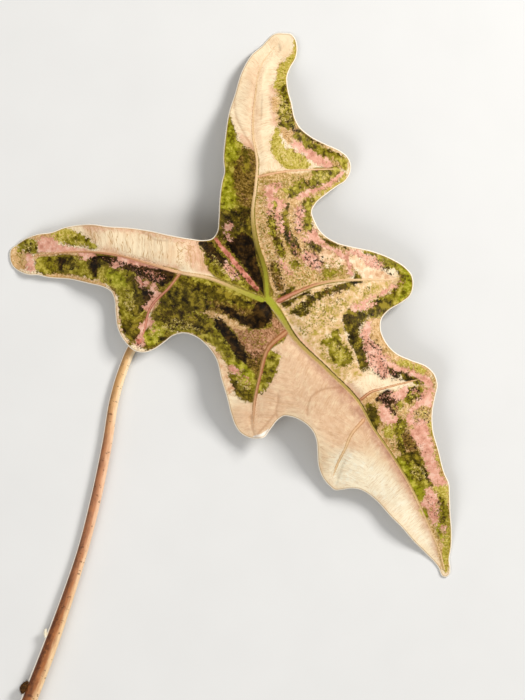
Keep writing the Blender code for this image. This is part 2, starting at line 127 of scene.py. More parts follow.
OUTLINE_PX = [
    # upper lobe: its tip, then its right side with the first tooth
    (278, 32.5), (285, 32.7), (291, 33.5), (294.5, 37), (297.5, 48), (296, 58), (291, 67), (287.5, 76),
    (288.3, 90), (292, 104), (295.3, 119), (298.5, 125.5), (310, 136), (326, 144.5), (341, 151.5),
    (348, 157.5), (351, 165), (349.6, 174.5), (345, 181.5), (338, 186), (326.5, 194.5), (315, 205),
    # second tooth
    (312, 211), (315, 222), (321, 232), (336, 242.5), (352, 247), (371, 251), (391, 258.5), (406, 268),
    (411.5, 274.5), (413.3, 282), (410, 296), (402, 302.5), (387, 312), (381.5, 319),
    # third tooth, and the long right side of the front lobe
    (380.3, 327), (385, 341), (396, 353), (411, 360), (427, 366.5), (434, 373.5), (437.5, 384), (435, 398),
    (432.5, 412), (433, 430), (438.5, 450), (445, 474), (449, 483), (449.8, 495), (450.5, 512), (452, 532),
    (451.7, 547), (449.7, 560), (450.6, 569), (449.5, 575), (446, 577.5), (443.5, 577),
    # front tip, and back up the left side with the fourth tooth
    (438, 567), (426, 554), (413, 541), (402, 528), (390, 516), (376, 500.5), (368, 494), (360, 489.7),
    (350, 488.5), (341, 490), (335, 490.3), (330, 486.5), (322, 476.5), (318.5, 467), (317, 450),
    (316, 440), (313, 432), (303, 422), (290, 416.5), (284, 416), (279, 419), (270, 430),
    # fifth tooth, then the bulge of the left lobe
    (264, 437.5), (257, 438.7), (249, 437.7), (240, 432.5), (236, 427), (231, 414), (227, 398), (221, 378),
    (216, 359), (207, 346), (194, 336), (184, 333.3), (173, 336), (165, 342), (153, 350), (144, 352.6),
    (135, 351), (125, 342), (117.5, 328), (115.3, 313), (113.8, 298), (111, 291.8), (105, 288),
    # left lobe: its underside, tip and upper side to the sinus notch
    (90, 284), (70, 279.5), (47, 277.5), (38, 275.3), (30, 275.2), (20, 272), (13, 267), (9.3, 257),
    (10.5, 249), (16, 244.5), (25, 238.5), (38, 234), (52, 232), (63, 227.8), (78, 225), (92, 224.3),
    (108, 226.5), (130, 228), (150, 231), (170, 235.5), (190, 239), (205, 240.3), (212, 238.7),
    # left side of the upper lobe
    (216.8, 232.5), (218.5, 220), (219.5, 200), (222, 181), (224, 173), (223.2, 160), (225, 138), (229, 112),
    (234.5, 95), (241.5, 72), (246, 63), (252, 54), (262, 45.3), (268, 38.5), (273, 34),
]

# Veins, from the junction outwards: the route, and the rib's half width at its two ends in mm.
MAIN_VEINS = {
    "midrib": ([(268, 299), (277.8, 311.2), (294, 337.2), (327, 369.5), (359.4, 403.2), (372.1, 426.3),
                (390.1, 452.3), (411, 487.3), (427.4, 522.4), (440.5, 553), (445, 570)], 1.9, 0.4),
    "upper costa": ([(267.5, 297), (264.8, 271), (257, 245), (253, 217), (256.5, 182), (257.5, 164),
                     (253, 135), (255, 98), (261.5, 65), (275, 46)], 1.8, 0.35),
    "left costa": ([(262, 299.5), (240, 290.5), (210, 278.5), (180, 273), (150, 264.5), (110, 254),
                    (70, 252), (30, 257)], 1.6, 0.45),
}
SIDE_VEINS = {
    "to the first tooth": ([(259, 177), (278, 173), (302, 170.5), (342, 169)], 0.6, 0.35),
    "to the second tooth": ([(279, 301), (297, 292.5), (315, 285.5), (334, 281.5), (352, 280.3),
                             (400, 280)], 1.2, 0.4),
    "to the third tooth": ([(361, 399), (370, 392), (384, 388), (424, 378)], 0.7, 0.35),
    "to the fifth tooth": ([(286, 332), (269, 347), (260, 375), (254, 407), (254, 430)], 1.2, 0.7),
    "to the fourth tooth": ([(363, 420), (350.7, 435), (344.6, 449.3), (337.6, 463.3), (331.6, 480.5)],
                            0.9, 0.5),
    "to the bulge": ([(180, 274), (170, 287), (150.5, 308), (144.5, 330), (140, 344.5)], 0.7, 0.5),
}
VEIN_TAPER = 1.6
# Over the last share of its way a vein's colour fades, a main vein's to this share of its width.
VEIN_FADE = 0.22
MAIN_VEIN_END = 0.55
# Over the last share of its way a vein's relief runs out.
VEIN_RUNOUT = 0.10
# How much of a main vein's width is in its own colours
MAIN_VEIN_SHOWN = 0.84
# Fine creases between the veins, sunk in the relief, with painted shade along them
CREASES_PX = [
    [(344, 388), (330, 388), (319, 391), (311, 397), (308, 405), (307, 415)],
    [(278, 394), (278, 402), (276, 410), (277, 417)],
    [(235, 112), (238, 122), (243, 132), (250, 144), (254, 151)],
    [(142, 232), (149, 236), (155, 240), (166, 241)],
    [(246, 338), (254, 350), (262, 360)],
    [(242, 60), (236, 90), (234, 108)],
    [(251, 416), (252, 427), (255, 436)],
    [(277, 411), (270, 420), (262, 429), (256, 436)],
]
SUTURE_PX = [(215.5, 237), (228, 248), (243, 266), (256, 284), (262, 292)]

# How the blade drapes: places in the plan, with the height of the upper face there in mm.
DRAPE = [
    # along the midrib
    (267, 299, 21.0), (300, 340, 22.0), (340, 380, 20.5), (373, 426, 16.0), (399, 464, 11.5),
    (418, 500, 7.4), (433, 532, 3.3), (443, 562, 0.8), (446, 576, -0.2),
    # along the upper costa
    (262, 268, 21.5), (253, 220, 21.5), (257, 182, 19.0), (254, 135, 14.5), (256, 98, 9.8), (262, 65, 5.2),
    (277, 42, 0.8), (287, 34, -0.2),
    # along the left costa
    (240, 287, 21.5), (200, 274.5, 21.5), (165, 268, 19.0), (130, 259, 14.8), (95, 252, 10.0),
    (60, 252.5, 5.8), (35, 257, 2.4), (11, 258, 0.2),
    # right margins, in and out of the teeth
    (288, 88, 8.0), (297, 124, 11.0), (330, 147, 9.6), (350, 166, 6.4), (337, 184, 9.5), (312, 209, 14.5),
    (336, 242, 16.0), (391, 258, 12.0), (413, 282, 7.4), (402, 303, 10.0), (381, 324, 15.0),
    (411, 360, 12.5), (437, 384, 7.2), (433, 420, 9.5), (446, 474, 6.8), (450, 512, 4.0), (451, 545, 2.2),
    # left margins, in and out of the teeth
    (420, 548, 3.4), (390, 516, 6.4), (360, 490, 7.6), (336, 491, 4.6), (317, 450, 11.5), (288, 416, 14.5),
    (256, 439, 7.4), (236, 427, 8.4), (222, 380, 12.5), (207, 346, 12.5), (184, 333, 10.6), (145, 352, 7.8),
    (117, 325, 7.6), (112, 292, 7.4), (85, 283, 5.6), (50, 278, 3.2), (25, 273, 1.6),
    # upper side of the left lobe, notch and left side of the upper lobe
    (20, 241, 2.0), (60, 229, 6.2), (92, 224, 9.6), (130, 228, 13.6), (170, 235.5, 17.2), (205, 240, 17.8),
    (214, 237, 16.0), (219, 205, 16.0), (223, 165, 14.6), (227, 121, 11.0), (240, 76, 5.6), (262, 45, 1.9),
]
# How far the sheet may leave these heights so as to stay smooth
DRAPE_LEEWAY = 2e-4

# Stalk route: places in the plan, with the height of its middle in mm (None where it lies on the surface)
# and its radius in mm.
STALK = [
    (262.5, 299.9, 13.3, 2.35), (255, 301, 10.1, 2.25), (243, 302.8, 7.5, 2.2), (226, 305.2, 5.2, 2.2),
    (207, 308.8, 3.3, 2.2), (188, 313.5, None, 2.2), (168, 320, None, 2.15), (149, 330, None, 2.15),
    (132.5, 347.5, None, 2.15), (123.5, 368, None, 2.15), (114, 400, None, 2.2), (107.5, 440, None, 2.3),
    (95.3, 500, None, 2.45), (82.5, 550, None, 2.45), (66.3, 600, None, 2.8), (48.5, 650, None, 3.3),
    (29, 700, None, 3.5), (8.5, 752, None, 3.6),
]
SEAT_GAP = 0.3 * MM
SEAT_RADIUS = 2.9 * MM
NECK_RADIUS = 2.6 * MM
NECK_DROP = 1.3 * MM
NECK_SHIFT = 0.1 * MM
STALK_SIDES = 40
STALK_STEP = 2.2 * MM
# Edges of the stalk and scraps sharper than this stay sharp.
SMOOTH_BELOW = math.radians(50)
# The fine keel down the stalk's left side: how far round from the top it is, and how far it stands out.
KEEL_TURN = 1.25
KEEL_SHARE = 1.05
# Scraps of dry sheath that grow from the stalk's left side: stations along the middle of each, as the place
# in the plan, then in mm the width there, the height of the middle and how tall the scrap is.
SCRAPS = {
    "sheath_scrap": [
        (50.0, 642.0, 1.0, 3.3, 2.2), (46.8, 638.8, 1.3, 3.4, 2.2), (45.2, 635.0, 1.5, 3.7, 2.2),
        (45.0, 631.5, 1.3, 4.0, 2.0), (46.3, 628.4, 0.8, 4.3, 1.6),
    ],
    "dark_husk": [
        (28.5, 681.0, 0.8, 4.4, 1.6), (25.8, 684.5, 2.4, 4.4, 2.8), (23.9, 688.0, 3.3, 4.2, 3.4),
        (22.8, 691.0, 2.6, 4.1, 3.0), (22.4, 694.0, 0.8, 4.1, 1.8),
    ],
}
# Rounding draws a scrap in, so it is drawn out this much larger.
SCRAP_SWELL = 1.14
HUSK_SWELL = 1.35
SCRAP_SIDES = 8
ROUNDINGS = 3
# Loose fibres of the dark scrap: how many roots are drawn, the least height of a root, how far the fibres
# stray from standing square, their lengths in mm, their radii at the root and tip, and how far out of the
# scrap their middles are, as a share of their length.
HUSK_FIBRES = 140
FIBRES_ABOVE = 2.8 * MM
FIBRE_STRAY = 0.9
FIBRE_LENGTHS = (0.5, 1.4)
FIBRE_ROOT, FIBRE_TIP = 0.08 * MM, 0.02 * MM
FIBRE_OUT = 0.35
FIBRE_SIDES = 5
FIBRE_SEED = 7

# Markings: what each paint covers, as outlines drawn in the plan. PAINTS says in which order the
# paints are laid.
BLOTCHES = {
    "tan ground": [
        [(285, 335), (330, 372), (366, 420), (376, 444), (352, 452), (330, 448), (316, 430), (290, 412),
         (262, 438), (240, 432), (236, 410), (252, 400), (262, 370), (270, 350)],
        [(252, 72), (259, 60), (257, 100), (256, 142), (251, 128), (249, 98)],
    ],
    "bright ground": [
        [(338, 452), (372, 462), (396, 486), (414, 514), (430, 546), (420, 540), (404, 524), (384, 504),
         (360, 490), (338, 486), (328, 470)],
    ],
    "pale ground": [
        [(272, 300), (283, 300), (312, 289), (352, 283), (402, 280), (385, 295), (362, 306), (344, 330),
         (352, 352), (362, 374), (345, 382), (330, 369), (310, 346), (292, 326), (280, 312)],
    ],
    "rosy brown": [
        [(232, 324), (245, 328), (262, 327), (276, 331), (279, 337), (270, 346), (262, 358), (258, 368),
         (250, 360), (243, 348), (237, 336)],
        [(262, 312), (272, 316), (284, 326), (290, 334), (284, 336), (276, 330), (268, 322)],
    ],
    "mixed ground": [
        [(258, 178), (300, 173), (342, 172), (340, 182), (313, 205), (312, 222), (336, 243), (352, 250),
         (352, 275), (318, 286), (292, 294), (274, 302), (267, 297), (261, 280), (253, 250), (252, 215),
         (255, 190)],
        [(363, 399), (400, 390), (432, 386), (433, 420), (446, 474), (450, 520), (450, 560), (444, 570),
         (436, 545), (420, 508), (400, 468), (378, 434), (364, 412)],
        [(284, 60), (296, 58), (290, 90), (296, 124), (330, 148), (349, 166), (340, 170), (318, 160),
         (296, 146), (280, 130), (276, 100)],
        [(370, 316), (382, 318), (388, 346), (410, 362), (432, 372), (436, 388), (410, 378), (380, 364),
         (362, 340)],
    ],
    "green ground": [
        [(150, 318), (160, 292), (178, 275), (210, 279), (240, 289), (266, 304), (280, 322), (286, 336),
         (270, 350), (260, 376), (252, 402), (236, 394), (226, 366), (205, 341), (184, 331), (160, 342),
         (146, 349), (140, 336)],
        [(35, 258), (90, 253), (150, 265), (182, 274), (166, 294), (148, 312), (140, 340), (130, 343),
         (121, 330), (118, 300), (106, 283), (60, 275), (38, 271)],
        [(229, 116), (240, 144), (257, 156), (257, 180), (255, 220), (260, 258), (270, 297), (262, 297),
         (246, 277), (212, 239), (216, 234), (219, 205), (222, 180), (225, 140)],
        [(206, 241), (214, 240), (236, 266), (262, 294), (232, 284), (212, 274), (205, 255)],
        [(376, 255), (400, 263), (413, 278), (409, 298), (384, 316), (366, 312), (396, 288), (400, 274)],
    ],
    "rosy shade": [
        [(285, 324), (296, 332), (334, 366), (369, 405), (388, 438), (408, 472), (431, 515), (450, 560),
         (445, 560), (428, 532), (411, 501), (393, 471), (373, 441), (353, 413), (325, 381), (303, 353),
         (286, 336)],
    ],
    "blush": [
        [(271, 86), (275, 88), (277, 98), (277, 112), (279, 127), (274, 127), (271, 110), (270, 98)],
        [(240, 134), (252, 142), (255, 152), (243, 147)],
        [(188, 243), (206, 246), (210, 258), (215, 272), (196, 271), (188, 262)],
        [(80, 225), (120, 227), (160, 232), (205, 240), (206, 244), (160, 237), (120, 231), (84, 229)],
        [(100, 250), (130, 256), (160, 263), (180, 269), (178, 273), (150, 268), (120, 262), (98, 256)],
        [(286, 330), (306, 340), (326, 356), (340, 374), (334, 378), (316, 360), (298, 346), (286, 338)],
    ],
    "peach": [
        [(273, 99), (277, 98), (279, 104), (278, 112), (275, 112), (273, 106)],
        [(297, 128), (298, 134), (286, 143), (283, 137), (280, 131)],
        [(258, 188), (264, 186), (268, 200), (268, 225), (272, 245), (276, 262), (270, 268), (264, 258),
         (258, 240), (256, 215)],
        [(288, 199), (296, 198), (301, 199), (298, 205), (296, 220), (304, 243), (306, 250), (303, 256),
         (301, 250), (297, 241), (292, 235), (288, 218), (287, 208)],
        [(280, 262), (300, 262), (316, 272), (318, 280), (300, 288), (286, 294), (276, 292), (270, 274)],
        [(370, 318), (378, 317), (381, 322), (381, 330), (386, 345), (383, 351), (378, 352), (374, 346),
         (371, 338), (371, 328)],
        [(362, 400), (368, 395), (378, 393), (377, 397), (377, 402), (370, 403), (364, 404)],
        [(10, 250), (22, 250), (30, 256), (28, 266), (22, 270), (13, 266), (10, 258)],
        [(30, 235), (45, 233), (55, 232), (54, 237), (44, 239), (32, 239)],
        [(45, 273), (60, 274), (75, 276), (90, 279), (105, 284), (105, 288), (90, 284), (70, 279.5),
         (46, 277)],
        [(196, 311), (206, 309), (224, 314), (244, 325), (252, 328), (246, 331), (238, 329), (222, 321),
         (203, 314)],
        [(160, 293), (166, 296), (162, 302), (156, 308), (150, 312), (145, 310), (155, 297)],
        [(35, 255), (45, 252), (74, 251), (88, 252), (75, 255), (60, 255), (45, 257), (34, 260)],
        [(384, 352), (400, 357), (418, 364), (430, 371), (431, 377), (420, 372), (404, 366), (390, 360)],
        [(404, 426), (409, 428), (411, 434), (418, 446), (420, 451), (414, 451), (408, 452), (403, 438),
         (404, 431)],
        [(379, 428), (386, 428), (393, 428), (397, 440), (400, 453), (404, 457), (395, 458), (391, 452),
         (382, 437), (377, 431)],
        [(395, 400), (407, 405), (408, 413), (403, 417), (393, 409)],
        [(434, 486), (446, 488), (449, 498), (449, 530), (451, 548), (449, 562), (446, 572), (442, 560),
         (440, 540), (436, 524), (438, 505)],
    ],
    "golden": [
        [(277, 129), (279, 131), (280, 138), (283, 144), (285, 149), (290, 150), (302, 156), (309, 164),
         (308, 168), (300, 169), (284, 168), (276, 160), (272, 138)],
        [(294, 34), (297, 40), (297, 57), (291, 66), (287, 76), (287, 86), (279, 88), (274, 88), (276, 79),
         (283, 62), (293, 51), (294.5, 44)],
        [(346, 175), (341, 184), (331, 190.5), (321, 197.5), (313, 205), (311, 202), (319, 195), (329, 188),
         (339, 181.5), (344, 174)],
        [(52, 236), (58, 231), (65, 228), (72, 230), (80, 235), (66, 243), (57, 242)],
        [(98, 268), (106, 264), (120, 270), (126, 275), (124, 284), (118, 288), (106, 283), (97, 279)],
        [(196, 335), (206, 338), (218, 345), (228, 356), (234, 366), (228, 366), (218, 354), (207, 345)],
        [(396, 362), (404, 360), (412, 364), (427, 371), (420, 374), (404, 367)],
        [(444, 519), (449, 518), (451, 530), (451, 545), (449, 556), (448, 568), (446, 572), (443, 560),
         (445, 530)],
        [(433, 487), (448, 489), (449, 500), (444, 497), (438, 497), (433, 493)],
        [(431, 418), (433, 425), (437, 441), (440, 450), (438, 449), (434, 440), (431, 431), (429, 425)],
        [(433, 452), (437, 455), (442, 470), (437, 462)],
        [(38, 258), (44, 257), (54, 266), (53, 272), (46, 273), (42, 268), (38, 264)],
        [(384, 429), (390, 427), (394, 431), (392, 437), (386, 436)],
    ],
    "olive": [
        [(118, 285), (128, 286), (133, 292), (131, 302), (128, 312), (122, 316), (118, 300)],
        [(279, 86), (287, 85), (289, 95), (291, 108), (294, 120), (292, 128), (281, 126), (280, 112),
         (281, 100)],
        [(293, 139), (297, 133), (303, 136), (318, 146), (326, 150), (335, 152), (341, 156), (346, 160),
         (345, 170), (338, 161), (320, 154), (308, 149), (298, 141)],
        [(312, 171), (326, 168.5), (339, 169), (340, 172), (337, 175), (322, 183), (318, 187), (309, 187),
         (308, 182), (313, 175)],
        [(282, 190), (287, 189), (298, 183), (304, 181), (306, 184), (296, 196), (291, 198), (289, 194)],
        [(229, 120), (231, 124), (234, 129), (235, 136), (238, 140), (243, 149), (254, 153), (257, 160),
         (256, 175), (254, 190), (252, 208), (251, 225), (256, 258), (262, 280), (264, 293), (258, 288),
         (250, 276), (240, 262), (230, 250), (222, 241), (216, 236), (217.5, 228), (219, 205), (220, 190),
         (223.5, 168), (222.7, 155), (224.5, 140), (227, 125)],
        [(276, 200), (278, 203), (272, 210), (274, 204)],
        [(269, 216), (272, 218), (277, 234), (282, 247), (285, 258), (282, 260), (277, 250), (271, 236)],
        [(303, 202), (313, 200), (311, 206), (311, 220), (312, 226), (309, 230), (305, 229), (304, 216)],
        [(322, 270), (333, 272), (337, 271), (330, 277), (321, 274)],
        [(292, 262), (299, 263), (299, 268), (291, 267)],
        [(275, 262), (278, 268), (280, 275), (277, 275)],
        [(362, 250), (370, 251), (386, 257), (401, 264), (411, 275), (413, 282), (408, 297), (396, 306),
         (380, 316), (372, 317), (368, 315), (362, 312), (373, 306), (371, 303), (377, 299), (391, 292),
         (396, 287), (401, 282), (402, 277), (392, 268), (386, 268), (374, 258)],
        [(333, 330), (337, 332), (339, 338), (350, 354), (352, 360), (341, 366), (331, 358), (330, 351),
         (323, 342), (326, 338), (331, 338)],
        [(405, 398), (416, 397), (409, 402), (405, 402)],
        [(400, 400), (403, 403), (397, 410), (394, 407)],
        [(405, 391), (414, 387), (420, 388), (420, 396), (414, 397), (406, 394)],
        [(414, 378), (425, 379), (424, 383), (413, 382)],
        [(398, 418), (406, 424), (405, 430), (403, 443), (405, 449), (404, 454), (397, 446), (397, 438),
         (395, 431), (393, 426), (396, 422)],
        [(408, 453), (418, 453), (422, 464), (429, 477), (431, 484), (424, 492), (423, 498), (420, 501),
         (416, 499), (413, 492), (409, 484), (400, 467), (396, 460)],
        [(440, 496), (444, 497), (446, 502), (448, 514), (439, 524), (437, 519), (439, 512), (440, 504)],
        [(17, 245), (24, 240), (37, 243), (35, 253), (29, 253), (24, 250), (18, 250)],
        [(66, 243), (74, 238), (80, 235), (87, 239), (97, 248), (92, 249), (84, 246), (77, 246)],
        [(38, 260), (56, 257), (75, 257), (90, 257), (105, 257), (118, 258), (122, 263), (118, 268),
         (100, 268), (96, 279), (80, 275), (60, 272), (40, 273), (36, 268)],
        [(106, 264), (120, 268), (132, 272), (142, 278), (146, 290), (143, 312), (136, 322), (138, 336),
         (132, 345), (125, 338), (121, 328), (120, 312), (119, 300), (119, 292), (115, 286), (106, 282)],
        [(168, 286), (176, 278), (186, 276), (206, 280), (228, 288), (246, 297), (262, 306), (270, 318),
         (268, 325), (258, 329), (236, 320), (226, 314), (214, 311), (200, 311), (206, 316), (216, 322),
         (226, 332), (238, 348), (246, 362), (256, 372), (257, 388), (255, 396), (248, 399), (240, 393),
         (232, 384), (227, 374), (228, 364), (222, 352), (210, 342), (196, 334), (184, 332), (172, 335),
         (160, 342), (150, 349), (144, 348), (143, 338), (146, 326), (154, 318), (160, 308), (160, 298)],
        [(270, 351), (279, 357), (278, 364), (272, 378), (266, 387), (258, 393), (258, 384), (263, 361)],
        [(199, 243), (212, 241), (218, 247), (231, 264), (239, 273), (254, 288), (258, 292), (250, 291),
         (240, 285), (220, 277), (213, 273), (210, 264), (206, 253)],
    ],
    "brown olive": [
        # The first outline fills the dark pocket by the junction, where its darkness is partly painted shade.
        [(224, 306), (240, 304), (256, 302), (266, 302), (266, 318), (258, 324), (248, 322), (236, 316)],
        [(238, 150), (254, 153), (257, 162), (256, 180), (253, 200), (250, 208), (237, 198), (236, 190),
         (234, 178), (236, 165), (237, 157)],
        [(272, 262), (275, 270), (279, 280), (283, 290), (280, 292), (275, 283), (271, 272)],
        [(196, 300), (210, 301), (230, 304), (262, 310), (268, 320), (262, 328), (246, 325), (234, 318),
         (220, 312), (202, 309)],
        [(404, 430), (411, 434), (418, 446), (418, 452), (410, 452), (404, 446)],
        [(238, 342), (246, 351), (256, 357), (262, 354), (260, 366), (255, 378), (249, 367), (242, 358)],
    ],
    "lime": [
        [(224, 167), (228, 170), (232, 183), (231, 189), (234, 193), (233, 210), (228, 211), (222, 212),
         (220, 205), (220, 195), (223, 178)],
        [(228, 122), (231, 128), (235, 140), (240, 152), (238, 158), (233, 160), (228, 162), (224, 160),
         (225, 148), (226, 135)],
        [(398, 262), (405, 267), (411, 275), (409, 294), (402, 301), (397, 300), (402, 292), (404, 276),
         (400, 269)],
        [(106, 272), (114, 270), (124, 276), (126, 284), (120, 288), (112, 284)],
        [(147, 328), (156, 324), (163, 330), (156, 345), (149, 346)],
        [(398, 460), (409, 464), (410, 474), (419, 486), (423, 488), (423, 494), (421, 501), (415, 492),
         (411, 484), (402, 467)],
        [(420, 509), (424, 509), (430, 515), (427, 518)],
        [(435, 522), (440, 524), (442, 530), (443, 538), (441, 541), (438, 534)],
        [(228, 362), (238, 362), (248, 368), (254, 376), (246, 382), (238, 376), (230, 370)],
    ],
    "dark green": [
        [(166, 290), (178, 287), (190, 294), (204, 299), (214, 306), (206, 310), (196, 312), (182, 318),
         (166, 323), (155, 317), (160, 303)],
        [(221, 212), (228, 211), (236, 208), (250, 208), (251, 225), (252, 240), (245, 236), (238, 240),
         (230, 240), (222, 240), (218, 234), (219, 222)],
        [(244, 150), (248, 152), (249, 162), (248, 172), (244, 173), (243, 163)],
        [(289, 124), (296, 128), (316, 141), (323, 145), (316, 143), (296, 131), (289, 127)],
        [(285, 203), (287, 205), (288, 222), (293, 236), (300, 247), (299, 257), (296, 257), (292, 252),
         (285, 240), (282, 224), (282, 216), (285, 210)],
        [(308, 240), (318, 246), (322, 248), (323, 251), (319, 252), (315, 249), (307, 245)],
        [(277, 296), (282, 294), (287, 290), (291, 286), (294, 287), (282, 297), (278, 298)],
        [(281, 304), (288, 301), (303, 294), (311, 290), (304, 296), (296, 300), (284, 307)],
        [(290, 312), (294, 307), (307, 299), (322, 291), (330, 288), (346, 283), (352, 281), (357, 271.5),
         (359, 275), (362, 282), (353, 285), (348, 289), (340, 291), (324, 297), (313, 304), (307, 314),
         (302, 317), (293, 314)],
        [(312, 229), (320, 236), (332, 243), (346, 248), (340, 248), (318, 238), (311, 232)],
        [(352, 310), (357, 311), (368, 315), (367, 320), (362, 324), (360, 338), (362, 343), (366, 357),
         (367, 368), (363, 370), (356, 354), (349, 341), (345, 328), (342, 324)],
        [(372, 302), (380, 300), (388, 301), (392, 306), (384, 312), (376, 315), (366, 311), (372, 307)],
        [(384, 369), (390, 370), (396, 372), (401, 371), (407, 373), (417, 378), (406, 381), (398, 375),
         (392, 374)],
        [(366, 404), (371, 405), (377, 413), (380, 417), (377, 426), (376, 431), (373, 426), (367, 411)],
        [(402, 454), (408, 453), (418, 453), (421, 457), (419, 467), (414, 461), (408, 459), (403, 458)],
        [(398, 444), (404, 446), (406, 451), (412, 454), (404, 456)],
        [(422, 466), (428, 475), (431, 486), (427, 482), (425, 476), (421, 471)],
        [(128, 276), (136, 276), (143, 284), (147, 296), (141, 314), (134, 316), (132, 306), (134, 294),
         (132, 284)],
        [(122, 322), (132, 321), (141, 320), (140, 332), (136, 341), (130, 342), (125, 336)],
        [(142, 344), (150, 349), (160, 343), (172, 336), (168, 334), (158, 341), (150, 347)],
        [(179, 279), (190, 281), (200, 284), (214, 287), (230, 293), (244, 300), (256, 307), (250, 309),
         (230, 303), (208, 298), (190, 293), (180, 288)],
        [(88, 257), (105, 257), (118, 258), (122, 263), (117, 268), (108, 264), (99, 268), (96, 277),
         (90, 274), (88, 264)],
        [(56, 257), (72, 257), (76, 264), (70, 271), (60, 271)],
        [(229, 376), (236, 382), (242, 390), (250, 392), (252, 398), (246, 399), (238, 392), (231, 384)],
        [(183, 322), (192, 316), (205, 320), (213, 328), (205, 334), (194, 330), (186, 330)],
    ],
    # This paint is partly dark pigment and partly painted shade: the pockets by the junction, the fall below the
    # left costa and other steep slopes.
    "deep pigment and painted shade": [
        [(226, 244), (236, 238), (246, 234), (252, 240), (256, 258), (262, 280), (265, 295), (259, 288),
         (250, 275), (240, 261), (232, 251)],
        [(221, 307), (230, 309), (249, 316), (254, 312), (256, 304), (266, 302.5), (271, 317),
         (267.5, 324.5), (259, 328), (238, 321), (229, 315)],
        [(216, 317), (221, 320), (230, 330), (239, 343), (247, 357), (246, 362), (238, 357), (229, 345),
         (221, 333), (215, 324)],
        [(375, 357), (382, 363), (386, 373), (383, 377), (379, 376), (377, 370)],
        [(390, 370), (398, 373), (397, 377), (393, 376)],
        [(383, 393), (387, 390), (391, 391), (389, 395), (391, 398), (400, 400), (394, 403), (391, 410),
         (394, 413), (390, 414), (387, 409), (380, 401), (376, 400)],
        [(60, 258), (64, 257), (65, 264), (62, 269)],
        [(92, 258), (97, 257), (98, 266), (95, 275)],
        [(98, 257), (110, 257), (121, 260), (134, 264), (148, 266), (158, 268), (168, 269), (174, 274),
         (162, 286), (150, 280), (142, 277), (134, 272), (122, 268), (110, 264)],
        [(142, 286), (147, 290), (156, 296), (151, 302), (147, 306), (144, 300)],
        [(199, 242.5), (209, 242), (214, 247), (220, 254), (226, 262), (224, 266), (216, 260), (212, 262),
         (208, 256), (204, 250)],
    ],
    "pink": [
        [(292, 142), (298, 142), (303, 147), (314, 153), (318, 156), (327, 160), (333, 166), (328, 168),
         (321, 166), (308, 158), (297, 150), (293, 147)],
        [(343, 172), (333, 183), (318, 191), (303, 198), (298, 198), (311, 189), (320, 187), (328, 182),
         (336, 177), (341, 172)],
        [(265, 188), (279, 184), (281, 187), (276, 193), (272, 205), (272, 212), (270, 214), (266, 200)],
        [(226, 225), (230, 223), (232, 227), (226, 233), (229, 235), (233, 240), (227, 238)],
        [(277, 200), (285, 204), (280, 214), (281, 222), (283, 230), (281, 233), (278, 226), (275, 210),
         (277, 205)],
        [(297, 208), (302, 207), (304, 212), (301, 224), (302, 230), (299, 232), (296, 226), (296, 212)],
        [(303, 235), (307, 236), (310, 232), (314, 229), (318, 238), (324, 242), (337, 250), (343, 252),
         (351, 263), (350, 276), (348, 272), (348, 266), (339, 256), (326, 250), (314, 243), (309, 240),
         (304, 241)],
        [(280, 258), (286, 265), (291, 275), (288, 275), (282, 265), (279, 261)],
        [(302, 254), (312, 253), (325, 264), (322, 270), (312, 269), (303, 264)],
        [(345, 251), (352, 250), (366, 255), (378, 262), (382, 267), (379, 271), (368, 266), (362, 260)],
        [(357, 308), (361, 305), (371, 304), (374, 303), (366, 310)],
        [(351, 309), (361, 302), (371, 297), (384, 291), (401, 281), (385, 293.5), (372, 299.5), (362, 305),
         (353, 311)],
        [(366, 323), (370, 324), (371, 330), (369, 336), (372, 341), (380, 350), (388, 360), (384, 377),
         (372, 368), (365, 350), (363, 341), (361, 333)],
        [(380, 357), (388, 360), (396, 366), (414, 371), (422, 375), (430, 380), (432, 388), (426, 386),
         (420, 380), (410, 374), (400, 371), (384, 363)],
        [(391, 394), (396, 391), (406, 387), (408, 389), (406, 393), (405, 397), (400, 400)],
        [(411, 390), (415, 389), (417, 392), (410, 393)],
        [(409, 412), (418, 400), (424, 393), (431, 386), (432, 400), (430, 407), (424, 406), (413, 414),
         (413, 419), (415, 423), (412, 426), (406, 418)],
        [(417, 421), (423, 420), (427, 424), (428, 432), (433, 446), (436, 463), (440, 474), (444, 484),
         (435, 485), (428, 472), (425, 464), (421, 449), (413, 438), (411, 431), (414, 426)],
        [(380, 405), (386, 406), (393, 416), (398, 418), (394, 424), (386, 424), (381, 418)],
        [(426, 490), (430, 488), (436, 498), (437, 509), (425, 507), (421, 505), (425, 497)],
        [(429, 510), (434, 510), (435, 526), (429, 516)],
        [(441, 527), (446, 526), (446, 532), (442, 532)],
        [(40, 240), (52, 237), (60, 245), (68, 246), (78, 248), (88, 250), (80, 251), (58, 252), (47, 252),
         (40, 252)],
        [(26, 256), (30, 254), (33, 258), (32, 264), (34, 268), (30, 271), (26, 268), (28, 262)],
        [(78, 252), (92, 252), (96, 256), (88, 258), (86, 260), (82, 257)],
        [(118, 257), (128, 258), (142, 261), (156, 266), (158, 268), (142, 266), (128, 264), (120, 263)],
        [(136, 277), (146, 281), (149, 284), (146, 287), (138, 282)],
        [(153, 284), (156, 288), (155, 291), (150, 291)],
        [(113, 265), (120, 263), (122, 267), (116, 268)],
        [(150, 318), (153, 321), (149, 326), (142, 336), (145, 340), (141, 347), (135, 343), (140, 334),
         (141, 327)],
        [(158, 292), (162, 294), (158, 300), (149, 311), (145, 309), (152, 298)],
        [(226, 262), (231, 268), (238, 277), (236, 281), (230, 277), (225, 270)],
        [(228, 367), (236, 366), (240, 371), (234, 373)],
    ],
    "rose": [
        [(213, 238), (217, 237), (221, 242), (232, 255), (245, 270), (256, 284), (260, 290), (258, 292),
         (252, 288), (240, 274), (228, 259), (217, 245)],
        [(139, 279), (144, 282), (146, 286), (141, 285)],
        [(135, 340), (142, 338), (143, 343), (138, 346)],
    ],
    "cream": [
        [(322, 250), (336, 256), (343, 260), (347, 269), (340, 267), (324, 266), (320, 258)],
        [(350, 258), (355, 256), (368, 266), (376, 270), (384, 272), (390, 276), (396, 279), (385, 280),
